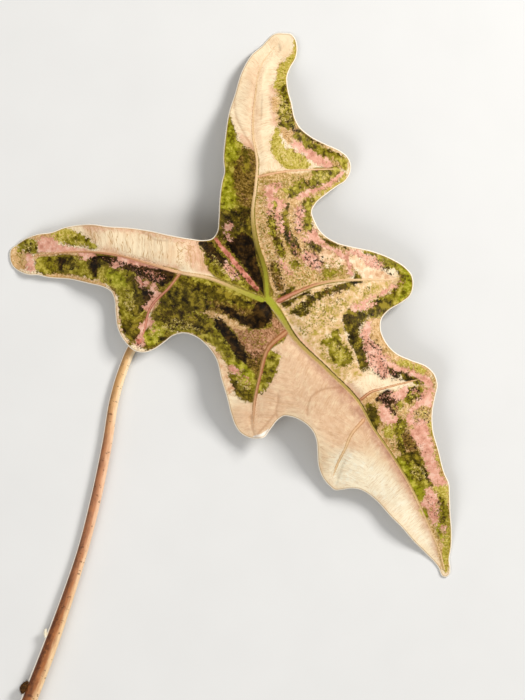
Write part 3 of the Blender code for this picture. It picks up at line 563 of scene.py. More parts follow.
         (372, 279), (364, 280), (360, 273), (351, 263)],
        [(205, 343), (210, 344), (216, 350), (226, 364), (230, 382), (233, 390), (229, 392), (224, 384),
         (219, 370), (214, 356)],
        [(110, 288), (114, 291), (118, 312), (119, 322), (124, 334), (130, 343), (127, 345), (118, 330),
         (114, 305)],
    ],
    # The curl at the fifth tooth: its pale underside, whitened further as a painted highlight.
    "curl underside and painted highlight": [
        [(252, 438), (263, 432.5), (269, 428.5), (270, 436), (256, 443)],
    ],
}

# Where the thin wrinkles across the small ribs' spaces are strong
WRINKLED = {
    "wrinkled": [
        [(84, 228), (120, 230), (160, 236), (204, 246), (206, 268), (180, 266), (160, 261), (130, 254),
         (100, 247), (92, 240)],
    ],
}
# Specks, by what they are: places where they are thick, with soft borders.
SPECKLED = {
    "olive specks": [
        [(254, 178), (275, 178), (300, 173), (312, 172), (308, 180), (300, 184), (284, 190), (262, 190)],
        [(256, 190), (268, 188), (268, 215), (272, 245), (278, 262), (270, 266), (262, 254), (256, 230)],
        [(288, 262), (310, 262), (320, 274), (316, 286), (296, 290), (284, 288), (284, 272)],
        [(310, 304), (326, 298), (348, 298), (350, 308), (340, 316), (334, 328), (322, 330), (302, 338),
         (296, 326), (306, 318)],
        [(352, 288), (370, 284), (380, 286), (376, 294), (360, 298)],
        [(322, 256), (340, 258), (348, 268), (346, 280), (332, 284), (318, 282)],
        [(322, 338), (336, 326), (350, 350), (356, 370), (344, 372), (330, 366), (318, 350)],
        [(360, 366), (372, 368), (374, 376), (364, 376)],
        [(212, 262), (228, 272), (246, 284), (252, 291), (232, 284), (214, 276)],
        [(380, 352), (396, 358), (416, 366), (410, 370), (390, 364)],
        [(15, 250), (24, 252), (26, 262), (20, 268), (13, 262)],
        [(234, 332), (262, 330), (270, 340), (256, 352), (244, 346)],
        [(60, 234), (80, 238), (92, 247), (76, 248), (58, 246)],
        [(437, 500), (446, 500), (448, 560), (444, 566), (440, 540), (437, 520)],
        [(378, 428), (396, 428), (402, 458), (394, 456), (384, 442)],
    ],
    "pale specks": [
        [(274, 134), (286, 150), (304, 160), (304, 167), (286, 167), (276, 154)],
        [(378, 262), (392, 268), (400, 274), (398, 280), (390, 272), (380, 268)],
        [(410, 462), (424, 466), (428, 478), (420, 482), (411, 478)],
        [(148, 326), (160, 326), (164, 336), (150, 342)],
        [(125, 292), (137, 296), (134, 312), (126, 314)],
        [(278, 90), (289, 100), (292, 124), (282, 124)],
        [(292, 300), (308, 298), (308, 312), (296, 314)],
        [(208, 246), (226, 266), (242, 280), (232, 280), (214, 268)],
        [(18, 244), (30, 242), (37, 246), (34, 252), (22, 249)],
        [(70, 240), (92, 245), (90, 248), (74, 246)],
        [(172, 316), (190, 320), (206, 334), (186, 332), (168, 334), (160, 328)],
        [(330, 340), (346, 350), (348, 362), (336, 362)],
        [(312, 176), (330, 172), (330, 178), (316, 184)],
        [(232, 370), (250, 378), (254, 390), (244, 392), (234, 382)],
        [(394, 402), (408, 404), (406, 416), (396, 414)],
        [(416, 410), (428, 409), (428, 419), (418, 418)],
    ],
    "pink specks": [
        [(374, 356), (388, 366), (399, 371), (396, 378), (384, 380), (376, 372)],
        [(376, 398), (392, 388), (402, 400), (396, 414), (386, 412)],
        [(224, 262), (232, 266), (244, 280), (238, 284), (226, 272)],
        [(128, 262), (150, 268), (170, 276), (164, 284), (150, 290), (140, 284), (130, 272)],
        [(100, 258), (120, 260), (122, 268), (104, 264)],
        [(428, 488), (440, 500), (440, 524), (430, 520)],
        [(150, 322), (160, 324), (158, 334), (148, 338)],
        [(232, 366), (250, 374), (252, 392), (238, 384)],
        [(288, 226), (300, 246), (306, 262), (296, 260), (286, 244)],
        [(246, 346), (260, 350), (258, 366), (250, 360)],
    ],
    "rust specks": [
        [(283, 128), (298, 130), (296, 142), (286, 144)],
        [(294, 140), (304, 144), (322, 154), (332, 161), (320, 158), (304, 150)],
        [(345, 250), (366, 254), (382, 266), (376, 271), (360, 262), (350, 257)],
        [(412, 438), (424, 440), (430, 452), (424, 456), (416, 446)],
        [(388, 408), (404, 402), (410, 412), (402, 418), (392, 416)],
        [(426, 490), (438, 500), (438, 524), (430, 520), (424, 504)],
        [(236, 332), (262, 330), (264, 350), (248, 358), (240, 346)],
        [(404, 426), (420, 448), (420, 454), (404, 452)],
        [(276, 270), (286, 288), (282, 294), (274, 280)],
        [(320, 286), (352, 288), (346, 300), (320, 304)],
    ],
    "dark specks": [
        [(362, 251), (377, 254), (393, 268), (396, 281), (384, 275), (371, 264)],
        [(281, 88), (289, 96), (294, 124), (284, 126), (281, 108)],
        [(266, 208), (280, 210), (284, 236), (286, 258), (276, 262), (270, 240)],
        [(290, 208), (303, 208), (304, 232), (296, 236), (290, 222)],
        [(301, 240), (318, 244), (326, 258), (322, 272), (306, 268), (300, 254)],
        [(290, 312), (300, 302), (318, 294), (340, 286), (336, 294), (318, 301), (308, 312), (298, 318)],
        [(282, 300), (312, 288), (304, 298), (286, 308)],
        [(361, 326), (374, 332), (386, 354), (390, 376), (376, 378), (364, 360)],
        [(382, 368), (400, 370), (404, 382), (390, 382)],
        [(376, 394), (392, 390), (400, 400), (396, 416), (386, 412), (376, 402)],
        [(405, 386), (423, 386), (424, 400), (406, 402)],
        [(412, 408), (430, 406), (431, 424), (412, 426)],
        [(396, 418), (408, 424), (408, 452), (398, 450)],
        [(98, 257), (136, 262), (174, 272), (170, 284), (152, 284), (132, 272), (106, 264)],
        [(140, 284), (156, 290), (154, 302), (144, 306)],
        [(199, 241), (214, 242), (230, 260), (252, 286), (244, 288), (222, 272), (208, 258)],
        [(238, 208), (252, 208), (252, 226), (240, 226)],
        [(264, 258), (282, 262), (284, 292), (276, 290)],
        [(22, 240), (38, 241), (38, 252), (26, 252)],
        [(440, 494), (449, 498), (448, 520), (440, 522)],
        [(140, 340), (152, 346), (146, 351), (134, 348)],
        [(160, 310), (180, 308), (214, 318), (206, 332), (184, 330), (164, 334)],
        [(246, 350), (262, 350), (260, 370), (248, 364)],
        [(342, 314), (366, 316), (362, 342), (366, 366), (356, 352), (346, 330)],
        [(414, 376), (427, 378), (424, 386), (414, 384)],
        [(433, 452), (441, 462), (442, 472), (436, 466)],
    ],
}


def linear(hex_code):
    """A colour as Blender's shaders take it."""
    shares = [int(hex_code[k:k + 2], 16) / 255 for k in (1, 3, 5)]
    return (*[s / 12.92 if s <= 0.04045 else ((s + 0.055) / 1.055) ** 2.4 for s in shares], 1.0)


# Each paint: its dark, middle and light tone, the tone of stray grains in it and their share, how torn its
# border is (mm), how soft it is (mm), how far it spreads past the drawn outline (mm), and the share of the
# dark line that runs broken round it.
PAINTS = {
    "tan ground": ("#E6C19D", "#EECBA8", "#F6D9B5", "#F8DFBA", 0.10, 1.0, 9.0, 0.0, 0.0),
    "bright ground": ("#FBEED2", "#FFF5DA", "#FFFAE4", "#F8E2C0", 0.10, 1.0, 7.0, 0.0, 0.0),
    "rosy shade": ("#BA8C74", "#CA9E84", "#DAB494", "#E6C6A2", 0.10, 1.0, 6.0, 0.0, 0.0),
    "blush": ("#DCB290", "#E6BE9E", "#F0D0B0", "#E2AE98", 0.20, 1.3, 3.0, 0.0, 0.0),
    "pale ground": ("#BCA452", "#E4C090", "#F8DEB8", "#ACA040", 0.22, 1.5, 2.0, 0.2, 0.0),
    "mixed ground": ("#8C6C2C", "#C8A468", "#ECCCA0", "#968A2C", 0.25, 1.5, 2.0, 0.0, 0.0),
    "green ground": ("#403206", "#7C6C18", "#B2A044", "#A07848", 0.28, 1.0, 1.0, 0.3, 0.0),
    "rosy brown": ("#704828", "#B0805C", "#DCAA88", "#6A5020", 0.15, 1.5, 2.4, 0.0, 0.0),
    "peach": ("#AC8448", "#D8B07C", "#F0D2A6", "#928230", 0.10, 1.5, 0.8, 0.2, 0.3),
    "golden": ("#84761C", "#B8A842", "#DCCA7A", "#D8AE7C", 0.20, 1.2, 0.6, 0.2, 0.25),
    "olive": ("#463806", "#857A18", "#C2B44E", "#C6A674", 0.12, 1.5, 0.5, 0.3, 0.3),
    "brown olive": ("#2C1E06", "#6C5418", "#A88A46", "#A47C54", 0.20, 1.5, 1.5, 0.2, 0.0),
    "lime": ("#5C5404", "#94921A", "#C8C04C", "#CDB464", 0.08, 1.5, 1.8, 0.0, 0.0),
    "dark green": ("#201804", "#54480C", "#968428", "#A27C50", 0.10, 1.5, 0.7, 0.2, 0.3),
    # Near-black tones: painted shade in pockets and falls, over partly dark pigment.
    "deep pigment and painted shade": ("#080300", "#221504", "#483210", "#70541E", 0.06, 1.3, 1.0, 0.3, 0.0),
    "pink": ("#C68A74", "#E2A892", "#F0C4B0", "#EED0B4", 0.18, 1.8, 0.9, 0.1, 0.45),
    "rose": ("#8A4E38", "#C87C68", "#E4A08E", "#D88A7C", 0.10, 0.5, 0.3, -0.4, 0.6),
    "cream": ("#D2A47C", "#EECCA6", "#FBE6C6", "#E0B090", 0.15, 1.4, 0.8, 0.0, 0.35),
    # The curl's pale underside with a painted highlight
    "curl underside and painted highlight": ("#EADFCC", "#FBF6EC", "#FFFDF6", "#F4E8D8", 0.10, 0.2, 0.25, 0.0, 0.0),
}
# Paints whose tones change in fine lace. In the others they change more broadly.
LACY = {"mixed ground", "green ground", "rosy brown", "peach", "golden", "brown olive"}
PAINT_LINE = linear("#5E3C16")
# Noise that the paints share: so many kinds of tears for their borders, so many kinds of grain for their
# tones, and the sizes of tears, of fine grain and of broader clouds in mm
TEAR_KINDS = 4
GRAIN_KINDS = 2
TEAR_SIZE = 1.7
GRAIN_SIZE = 0.85
CLOUD_SIZE = 2.7
# A border strays by this many times the paint's tear over the whole range of the noise.
TEAR_GAIN = 7
# Where in the range of its grain a paint leaves its dark tone, has its middle one and reaches its light one
DARK_TO, MIDDLE, LIGHT_FROM = 0.41, 0.50, 0.59
# Where stray grains set in, how much a greater share of them lowers that, and how well they cover
STRAY_LIMITS = (0.60, 0.65)
STRAY_SPREAD = 0.25
STRAY_COVER = 0.8
# The dark line's place outside the border in mm, and where in the range of the fine grain it breaks off
LINE_OUTSIDE, LINE_INSIDE = -1.5, -0.5
LINE_BREAKS = (0.46, 0.58)
# The distance into a drawn outline is known up to this far outside it, in mm.
MARKING_REACH = 6.0
# Drawn outlines are followed in steps of this length.
DRAWN_STEP = 0.5 * MM
# Each kind of speck: its two colours, its size in mm, and its share where it is thickest.
SPECKS = {
    "olive specks": ("#968A28", "#6E6418", 0.80, 0.40),
    "pale specks": ("#DEC788", "#C8B458", 0.70, 0.40),
    "pink specks": ("#E6A892", "#C8846E", 0.95, 0.38),
    "rust specks": ("#8E5A30", "#5E3814", 0.70, 0.36),
    "dark specks": ("#2C1A08", "#4E3C10", 0.95, 0.40),
}

# A vein's colours are known this far outside it in mm, and this far across it in half widths.
VEIN_OUTSIDE = 3.0
VEIN_ACROSS = 3.0
# The tones that the veins have
VEIN_TONES = {
    "leaf green": "#A6A834", "yellow green": "#BCB052", "olive": "#86782A", "dark olive": "#4C440C",
    "sand": "#B8A058", "tan": "#D6B282", "cream": "#F0D0A4", "peach": "#E8BA90",
    "light brown": "#C8946C", "rust": "#A86A48", "rose": "#DA9480", "dark brown": "#6C4424",
}
# Where each vein changes: share of the way out, then the tone of its left side, crest and right side.
# The darker sides are partly painted shade beside the raised ribs, and the paler crests partly painted highlight.
VEIN_CHANGES = {
    "midrib": [(0.0, "leaf green", "leaf green", "leaf green"), (0.06, "olive", "leaf green", "yellow green"),
               (0.14, "dark olive", "sand", "tan"), (0.5, "dark olive", "sand", "peach"),
               (0.65, "olive", "sand", "peach"), (0.8, "sand", "tan", "cream"), (1.0, "tan", "cream", "cream")],
    "upper costa": [(0.0, "olive", "leaf green", "olive"), (0.18, "dark olive", "olive", "olive"),
                    (0.28, "sand", "sand", "olive"), (0.4, "tan", "cream", "olive"), (0.5, "tan", "cream", "olive"),
                    (0.6, "tan", "cream", "tan"), (0.7, "light brown", "cream", "tan"),
                    (1.0, "tan", "cream", "tan")],
    "left costa": [(0.0, "leaf green", "leaf green", "olive"), (0.1, "yellow green", "yellow green", "olive"),
                   (0.18, "sand", "tan", "olive"), (0.3, "sand", "cream", "tan"),
                   (0.4, "dark brown", "peach", "peach"), (0.55, "rose", "light brown", "peach"),
                   (0.75, "rust", "light brown", "peach"), (1.0, "sand", "light brown", "peach")],
    "to the first tooth": [(0.0, "light brown", "peach", "light brown"),
                           (1.0, "light brown", "cream", "light brown")],
    "to the second tooth": [(0.0, "rust", "rose", "rust"), (0.25, "rust", "light brown", "olive"),
                            (0.5, "peach", "tan", "olive"), (0.7, "tan", "cream", "tan"),
                            (1.0, "tan", "cream", "tan")],
    "to the third tooth": [(0.0, "rust", "light brown", "rust"), (0.3, "rust", "peach", "rust"),
                           (1.0, "light brown", "tan", "light brown")],
    "to the fifth tooth": [(0.0, "rust", "light brown", "rust"), (0.6, "rust", "light brown", "olive"),
                           (0.85, "light brown", "peach", "light brown"), (1.0, "tan", "peach", "tan")],
    "to the fourth tooth": [(0.0, "light brown", "peach", "light brown"), (0.5, "tan", "cream", "tan"),
                            (1.0, "tan", "cream", "tan")],
    "to the bulge": [(0.0, "rust", "light brown", "rust"), (0.4, "rust", "rose", "rust"),
                     (1.0, "rust", "rose", "rust")],
}
# Stalk colours: from and to where they set in (mm from the junction), then middle tone, left tone (painted shade)
# and right tone (painted highlight).
STALK_TONES = [
    (0, 0, "#DDB480", "#B48A56", "#F8E2BC"),
    (92, 135, "#BC8460", "#8A5A3E", "#EEC6A4"),
    (150, 215, "#A0663C", "#5C2E14", "#F2D2A4"),
]
# How far, in mm, mottling moves the places where the stalk's colours set in
STALK_MOTTLE = 24.0
# Across the stalk, in radii: how far streaks move its colours, where its painted shade on the left, painted
# highlight on the right and keel highlight set in and are whole (shade and keel measured to the left), and the same
# for its dark clouds, kept to the shaded left
STALK_WANDER = 1.1
SHADE_FROM = (-0.35, 0.7)
GLINT_FROM = (0.05, 0.90)
KEEL_HIGHLIGHT_FROM = (0.80, 0.88)
CLOUDS_FROM = (-0.7, 0.6)
# Along the stalk, in mm: where its clouds grow stronger, and how strong they are before and after
CLOUDS_ALONG = (60.0, 200.0)
CLOUD_SHARES = (0.35, 0.7)
# Where in the range of their noise the stalk's dark clouds, rusty ones and short flecks set in
DARK_CLOUDS = (0.46, 0.68)
RUSTY_CLOUDS = (0.52, 0.34)
STALK_FLECKS = (0.61, 0.68)
GLINT_SHARE, RUST_SHARE, STALK_FLECK_SHARE = 0.95, 0.5, 0.6
# Other colours, each named for what it covers. The first three are on the stalk.
# The keel's pale line is a painted rim highlight.
KEEL_HIGHLIGHT = linear("#F6ECDE")
FLECK = linear("#44220C")
RUST = linear("#C47A3C")
CREAM = linear("#FCEBCA")
BEIGE = linear("#F0D2AC")
STREAK = linear("#DDB48C")
RIB_LINE = linear("#C8966C")
WRINKLE = linear("#C39A66")
# Painted shade along the creases
CREASE_SHADE = linear("#A8744E")
# The pale margin, lightened further as a painted glow of light through the edge
RIM_PALE_AND_GLOW = linear("#FFF7E8")
RIM_LINE = linear("#B08848")
PORE = linear("#5A3A20")
UNDERSIDE = linear("#C9BE92")

# How much the surfaces mirror, and the share of light that passes through the blade
BLADE_SHINE, STALK_SHINE, SCRAP_SHINE = 0.07, 0.35, 0.1
BLADE_GLOW = 0.13
# Where in the range of its noise a marking sets in and where it is whole: drifts and streaks of the ground,
# hairlines along the small ribs, wrinkles (as the distance from a line), specks, and flecks of the veins
GROUND_DRIFT = (0.44, 0.72)
GROUND_STREAKS = (0.46, 0.68)
HAIR_LIMITS = (0.49, 0.60)
WRINKLE_LIMITS = (0.022, 0.006)
SPECK_LIMITS = (0.88, 0.97)
FLECK_LIMITS = (0.52, 0.66)
# How strong hairlines and wrinkles are, from where they are faint to where they are clear, and how thick
# specks are between their clusters and in them
HAIR_SHARES = (0.14, 0.40)
WRINKLE_SHARES = (0.18, 0.80)
SPECK_CLUSTERS = (0.70, 1.22)
# How strong these are over what is under them
STREAK_SHARE = 0.22
FLECK_SHARE = 0.25
CREASE_SHADE_SHARE = 0.4
RIM_LINE_SHARE = 0.5
PORE_SHARE = 0.12
UNDERSIDE_SHARE = 0.45
# In mm: how softly specks and wrinkles end at their drawn outlines, the border of a vein, where tears get
# smaller beside a vein, and the distances from the margin at which the rim's line and the rim fade out
SPECK_SOFTNESS = 1.8
WRINKLED_SOFTNESS = 1.5
VEIN_BORDER = (-0.12, 0.16)
CALM_BESIDE_VEIN = (-1.8, -0.5)
RIM_LINE_FADE = (0.95, 0.55)
RIM_FADE = (0.52, 0.30)
# How far from its middle a vein's side colours set in, in half widths
VEIN_SIDE = (0.25, 0.65)

# Floor, room, and the soft square lights as place, width, power and colour
FLOOR_SIZE = 6.0
FLOOR_TONES = ("#D8DADC", "#D2D4D6")
FLOOR_ROUGHNESS = 0.8
ROOM_COLOUR = (1.0, 0.965, 0.92, 1.0)
ROOM_STRENGTH = 0.38
LIGHTS = {
    "key": ((0.75, 0.55, 0.80), 0.42, 15.0, (1.0, 0.96, 0.90)),
    "fill": ((-0.7, -0.65, 0.9), 0.8, 7.5, (1.0, 0.97, 0.92)),
}
# The camera looks straight down, from this far above the leaf's mean height. The sensor's height is in mm.
CAMERA_DISTANCE = 4.0
MEAN_HEIGHT = 4 * MM
CAMERA_SENSOR = 36.0


def plan(points):
    """Pixels of the picture as metres in the frame's plan, with y upwards."""
    return np.array(points, float)[:, :2] * (PIXEL, -PIXEL) + plan_shift


def smooth_curve(points, spacing, closed=False):
    """A smooth curve through the points, read at an even spacing."""
    points = np.asarray(points, float)
    if closed:
        ring = np.vstack([points[-1], points, points[:2]])
    else:
        ring = np.vstack([2 * points[0] - points[1], points, 2 * points[-1] - points[-2]])
    steps = np.diff(ring, axis=0)
    lengths = np.linalg.norm(steps, axis=1)[:, None]
    ways = steps / lengths
    tangents = (ways[:-1] * lengths[1:] + ways[1:] * lengths[:-1]) / (lengths[1:] + lengths[:-1])
    fine = []
    for start, end, way_in, way_out, length in zip(ring[1:], ring[2:], tangents, tangents[1:], lengths[1:]):
        t = np.linspace(0, 1, CURVE_STEPS, endpoint=False)[:, None]
        fine.append((2 * t**3 - 3 * t**2 + 1) * start + (t**3 - 2 * t**2 + t) * length * way_in
                    + (3 * t**2 - 2 * t**3) * end + (t**3 - t**2) * length * way_out)
    fine.append(points[:1] if closed else points[-1:])
    fine = np.vstack(fine)
    run = np.concatenate([[0], np.cumsum(np.linalg.norm(np.diff(fine, axis=0), axis=1))])
    count = max(2, round(run[-1] / spacing))
    places = np.linspace(0, run[-1], count + 1)
    even = np.column_stack([np.interp(places, run, fine[:, k]) for k in range(fine.shape[1])])
    return even[:-1] if closed else even


def smooth_step(value):
    value = np.clip(value, 0, 1)
    return value * value * (3 - 2 * value)


def nearest(path, at, closed=False):
    """For each place: the distance to the path, the share of the way along it, and the side (1 is left)."""
    tree = KDTree(len(path))
    for number, point in enumerate(path):
        tree.insert((*point, 0.0), number)
    tree.balance()
    close = np.array([tree.find((x, y, 0.0))[1] for x, y in at])
    run = np.concatenate([[0], np.cumsum(np.linalg.norm(np.diff(path, axis=0), axis=1))])
    total = run[-1] + (np.linalg.norm(path[0] - path[-1]) if closed else 0)
    best, along, side = np.full(len(at), np.inf), np.zeros(len(at)), np.ones(len(at))
    for first in (close - 1, close):
        if not closed:
            first = np.clip(first, 0, len(path) - 2)
        start, end = path[first], path[(first + 1) % len(path)]
        way = end - start
        length = np.linalg.norm(way, axis=1)
        off = at - start
        part = np.clip((off * way).sum(axis=1) / length**2, 0, 1)
        gap = np.linalg.norm(off - part[:, None] * way, axis=1)
        closer = gap < best
        best = np.where(closer, gap, best)
        along = np.where(closer, (run[first] + part * length) / total, along)
        side = np.where(closer, np.sign(way[:, 0] * off[:, 1] - way[:, 1] * off[:, 0]), side)
    return best, along, side


def inside(outline, at):
    """Whether each place lies within the outline."""
    within = np.zeros(len(at), bool)
    for start, end in zip(outline, np.roll(outline, -1, axis=0)):
        crosses = (start[1] > at[:, 1]) != (end[1] > at[:, 1])
        slope = (end[0] - start[0]) / (end[1] - start[1]) if end[1] != start[1] else 0.0
        within ^= crosses & (at[:, 0] < start[0] + slope * (at[:, 1] - start[1]))
    return within


def ripple(at, size, seed):
    """Smooth noise from -1 to 1 over the plan, with forms of about that size."""
    return np.array([noise.noise((x / size, y / size, seed)) for x, y in at])


class Drape:
    """A thin sheet bent as little as it can be through given heights."""

    def __init__(self, rows):
        rows = np.array(rows, float)
        self.places = plan(rows) / LEAF_LENGTH
        heights = rows[:, 2] * MM
        corner = np.column_stack([np.ones(len(rows)), self.places])
        bend = self.bend(self.places) + DRAPE_LEEWAY * np.eye(len(rows))
        whole = np.block([[bend, corner], [corner.T, np.zeros((3, 3))]])
        self.weights = np.linalg.solve(whole, np.concatenate([heights, np.zeros(3)]))

    def bend(self, at):
        squares = ((at[:, None] - self.places[None]) ** 2).sum(axis=2)
        return squares * np.log(squares + 1e-12)

    def __call__(self, at):
        at = at / LEAF_LENGTH
        return self.bend(at) @ self.weights[:-3] + self.weights[-3] + at @ self.weights[-2:]


class Vein:
    """One vein's route and rib."""

    def __init__(self, name, route, base, tip):
        self.name = name
        self.path = smooth_curve(plan(route), VEIN_STEP)
        self.base = base * MM
        self.tip = tip * MM
        self.length = np.linalg.norm(np.diff(self.path, axis=0), axis=1).sum()

    def half_width(self, along):
        return self.tip + (self.base - self.tip) * (1 - along) ** VEIN_TAPER


class Survey:
    """What is measured once for a set of places in the plan: distances to the margin, veins and suture."""

    def __init__(self, leaf, at):
        self.at = at
        self.edge, self.edge_along, _ = nearest(leaf.outline, at, closed=True)
        self.fold, self.fold_along, _ = nearest(leaf.suture, at)
        self.veins = [(vein, *nearest(vein.path, at)) for vein in leaf.veins]
        self.crease = np.min([nearest(path, at)[0] for path in leaf.creases], axis=0)

    def relief(self, names, form):
        """A rounded form along each vein. Where veins meet, the higher one counts."""
        amount, reach, power = form
        most = np.zeros(len(self.at))
        for vein, gap, along, _ in self.veins:
            if vein.name in names:
                half = vein.half_width(along)
                half = half * smooth_step((1.0 - along) / VEIN_RUNOUT)
                near = gap / vein.half_width(along) / reach
                most = np.maximum(most, amount * half * np.exp(-(near ** power)))
        return most


class Leaf:
    """The form of the blade: the height of its upper face and its thickness anywhere in the plan."""

    def __init__(self):
        self.drape = Drape(DRAPE)
        self.outline = smooth_curve(plan(OUTLINE_PX), RIM_SPACING, closed=True)
        self.waves = round(len(self.outline) * RIM_SPACING / MARGIN_WAVE_LENGTH)
        self.veins = [Vein(name, *row) for name, row in (MAIN_VEINS | SIDE_VEINS).items()]
        self.suture = smooth_curve(plan(SUTURE_PX), VEIN_STEP)
        self.creases = [smooth_curve(plan(route), VEIN_STEP) for route in CREASES_PX]
        self.junction = plan([JUNCTION_PX])[0]
        self.curl = plan([CURL_PX])[0]

    def height(self, survey):
        at = survey.at
        top = self.drape(at)
        wave = np.sin(survey.edge_along * 2 * math.pi * self.waves)
        top += MARGIN_WAVE * wave * np.exp(-survey.edge / MARGIN_WAVE_REACH)
        top -= survey.relief(MAIN_VEINS, MAIN_CHANNEL)
        top -= survey.relief(SIDE_VEINS, SIDE_CHANNEL)
        top += survey.relief(MAIN_VEINS | SIDE_VEINS, RIB)
        fade = smooth_step(SUTURE_FADE * (1 - survey.fold_along))
        top -= SUTURE_DEPTH * np.exp(-survey.fold / SUTURE_REACH) * fade
        from_curl = np.linalg.norm(at - self.curl, axis=1)
        top += CURL_HEIGHT * np.exp(-((from_curl / CURL_REACH) ** 2))
        return np.maximum(top, self.thickness(survey))

    def thickness(self, survey):
        """Measured straight down, so it grows a little where the blade is steep."""
        step = 0.2 * MM
        at = survey.at
        slope_x = (self.drape(at + (step, 0)) - self.drape(at - (step, 0))) / (2 * step)
        slope_y = (self.drape(at + (0, step)) - self.drape(at - (0, step))) / (2 * step)
        thick = BLADE_THICKNESS * np.sqrt(1 + slope_x**2 + slope_y**2)
        clear_of_surface = smooth_step(self.drape(at) / RIB_CLEAR_HEIGHT)
        return thick + clear_of_surface * survey.relief(MAIN_VEINS | SIDE_VEINS, RIB_BELOW)

    def pad_height(self):
        """The flat seat for the stalk under the junction."""
        return float(self.height(Survey(self, self.junction[None]))[0]) - PAD_DROP

    def under(self, survey):
        """Heights of the lower face."""
        under = self.height(survey) - self.thickness(survey)
        away = np.linalg.norm(survey.at - self.junction, axis=1)
        pad = 1 - smooth_step((away - PAD_RADIUS) / PAD_BLEND)
        return under + (np.minimum(self.pad_height(), under) - under) * pad

    def rib_places(self, survey):
        """Places measured from the nearest vein, for the small ribs that leave it: how far along it, how far
        off it, and how clearly the ribs show."""
        along_vein = np.zeros(len(survey.at))
        off_vein = second = np.full(len(survey.at), np.inf)
        for vein, gap, along, _ in survey.veins:
            slant = RIB_SLANT if vein.name in MAIN_VEINS else 0.0
            closer = gap < off_vein
            second = np.where(closer, off_vein, np.minimum(second, gap))
            along_vein = np.where(closer, along * vein.length - slant * gap, along_vein)
            off_vein = np.minimum(off_vein, gap)
        fade = smooth_step((off_vein - RIB_START) / RIB_FADE) * smooth_step((second - off_vein) / RIB_FADE)
        return along_vein, off_vein, fade * smooth_step(survey.edge / RIB_FADE)

    def fine_relief(self, survey, along_vein, fade):
        """What the solid leaves out: folds along the small ribs, creases, cockles and the rim's bead."""
        at = survey.at
        phase = along_vein / RIB_SPACING / 2 + FOLD_SWAY * ripple(at, FOLD_SWAY_SIZE, seed=3.1)
        fine = FOLD_HEIGHT * np.cos(2 * math.pi * phase) * fade
        fine *= FOLD_SHARE + FOLD_CHANGE * ripple(at, FOLD_CHANGE_SIZE, seed=8.3)
        fine -= CREASE_DEPTH * np.exp(-((survey.crease / CREASE_REACH) ** 2))
        inner = smooth_step(survey.edge / COCKLE_MARGIN)
        for number, (size, amount) in enumerate(COCKLES):
            fine += amount * inner * ripple(at, size, seed=11.0 + number)
        return fine + BEAD_HEIGHT * np.exp(-((survey.edge - RIM_ROWS[0]) / BEAD_REACH) ** 2)


class Sieve:
    """Keeps points that lie clear of every point kept before."""

    def __init__(self, cell):
        self.cell = cell
        self.kept = []
        self.bins = {}

    def add(self, points, least):
        for x, y in points:
            column, row = int(x // self.cell), int(y // self.cell)
            near = [other for i in (-1, 0, 1) for j in (-1, 0, 1)
                    for other in self.bins.get((column + i, row + j), ())]
            if all((x - a) ** 2 + (y - b) ** 2 >= least**2 for a, b in near):
                self.kept.append((x, y))
                self.bins.setdefault((column, row), []).append((x, y))


def moved_inwards(outline, depth):
    """The outline's points, each moved square to it into the leaf."""
    way = np.roll(outline, -1, axis=0) - np.roll(outline, 1, axis=0)
    inward = np.column_stack([way[:, 1], -way[:, 0]]) / np.linalg.norm(way, axis=1)[:, None]
    return outline + inward * depth


def beside(vein, reach):
    """A row of points that follows a vein at so many half widths from its middle."""
    way = np.gradient(vein.path, axis=0)
    side = np.column_stack([-way[:, 1], way[:, 0]]) / np.linalg.norm(way, axis=1)[:, None]
    half = vein.half_width(np.linspace(0, 1, len(vein.path)))[:, None]
    return smooth_curve(vein.path + side * half * reach, UPPER_GRID)


def even_grid(outline, spacing):
    """Places in rows, each set off by half a step from the last, that cover the leaf."""
    low, high = outline.min(axis=0), outline.max(axis=0)
    rows = []
    for line, y in enumerate(np.arange(low[1], high[1], spacing * math.sqrt(0.75))):
        xs = np.arange(low[0] + spacing / 2 * (line % 2), high[0], spacing)
        rows.append(np.column_stack([xs, np.full(len(xs), y)]))
    grid = np.vstack(rows)
    return grid[inside(outline, grid)]


def net(leaf, spacing, rim_rows, vein_rows):
    """One face's net in the plan: its places, with the rim first, and its triangles, anticlockwise."""
    rim = moved_inwards(leaf.outline, RIM_ROUNDING)
    sieve = Sieve(spacing)
    sieve.add(rim, 0.0)
    for depth in rim_rows:
        row = moved_inwards(leaf.outline, depth)
        clear = nearest(leaf.outline, row, closed=True)[0] > depth * ROW_SHARE
        sieve.add(row[clear & inside(leaf.outline, row)], ROW_GAP)
    margin = rim_rows[-1] + GRID_CLEAR
    rows = [beside(vein, reach) for vein in leaf.veins for reach in vein_rows]
    grid = even_grid(leaf.outline, spacing)
    for points, least in [(row, VEIN_GAP) for row in rows] + [(grid, spacing * GRID_GAP)]:
        clear = nearest(leaf.outline, points, closed=True)[0] > margin
        sieve.add(points[clear & inside(leaf.outline, points)], least)
    places = np.array(sieve.kept)
    edges = [(k, (k + 1) % len(rim)) for k in range(len(rim))]
    keep_inside, merge_below = 1, 1e-9
    made = delaunay_2d_cdt([Vector(p) for p in places], edges, [], keep_inside, merge_below)
    places = np.array([tuple(p) for p in made[0]])
    triangles = np.array([tuple(face) for face in made[2]])
    a, b, c = (places[triangles[:, k]] for k in range(3))
    turn = (b[:, 0] - a[:, 0]) * (c[:, 1] - a[:, 1]) - (b[:, 1] - a[:, 1]) * (c[:, 0] - a[:, 0])
    triangles[turn < 0] = triangles[turn < 0][:, ::-1]
    return places, triangles


def drawn_distance(outlines, at):
    """Distance in mm into the nearest of the drawn outlines, and minus the distance where outside."""
    most = np.full(len(at), -MARKING_REACH)
    reach = MARKING_REACH * MM
    for outline in outlines:
        ring = smooth_curve(plan(outline), DRAWN_STEP, closed=True)
        near = np.all((at > ring.min(axis=0) - reach) & (at < ring.max(axis=0) + reach), axis=1)
        if near.any():
            places = at[near]
            gap = nearest(ring, places, closed=True)[0] / MM
            signed = np.where(inside(ring, places), gap, -gap)
            most[near] = np.maximum(most[near], signed)
    return most


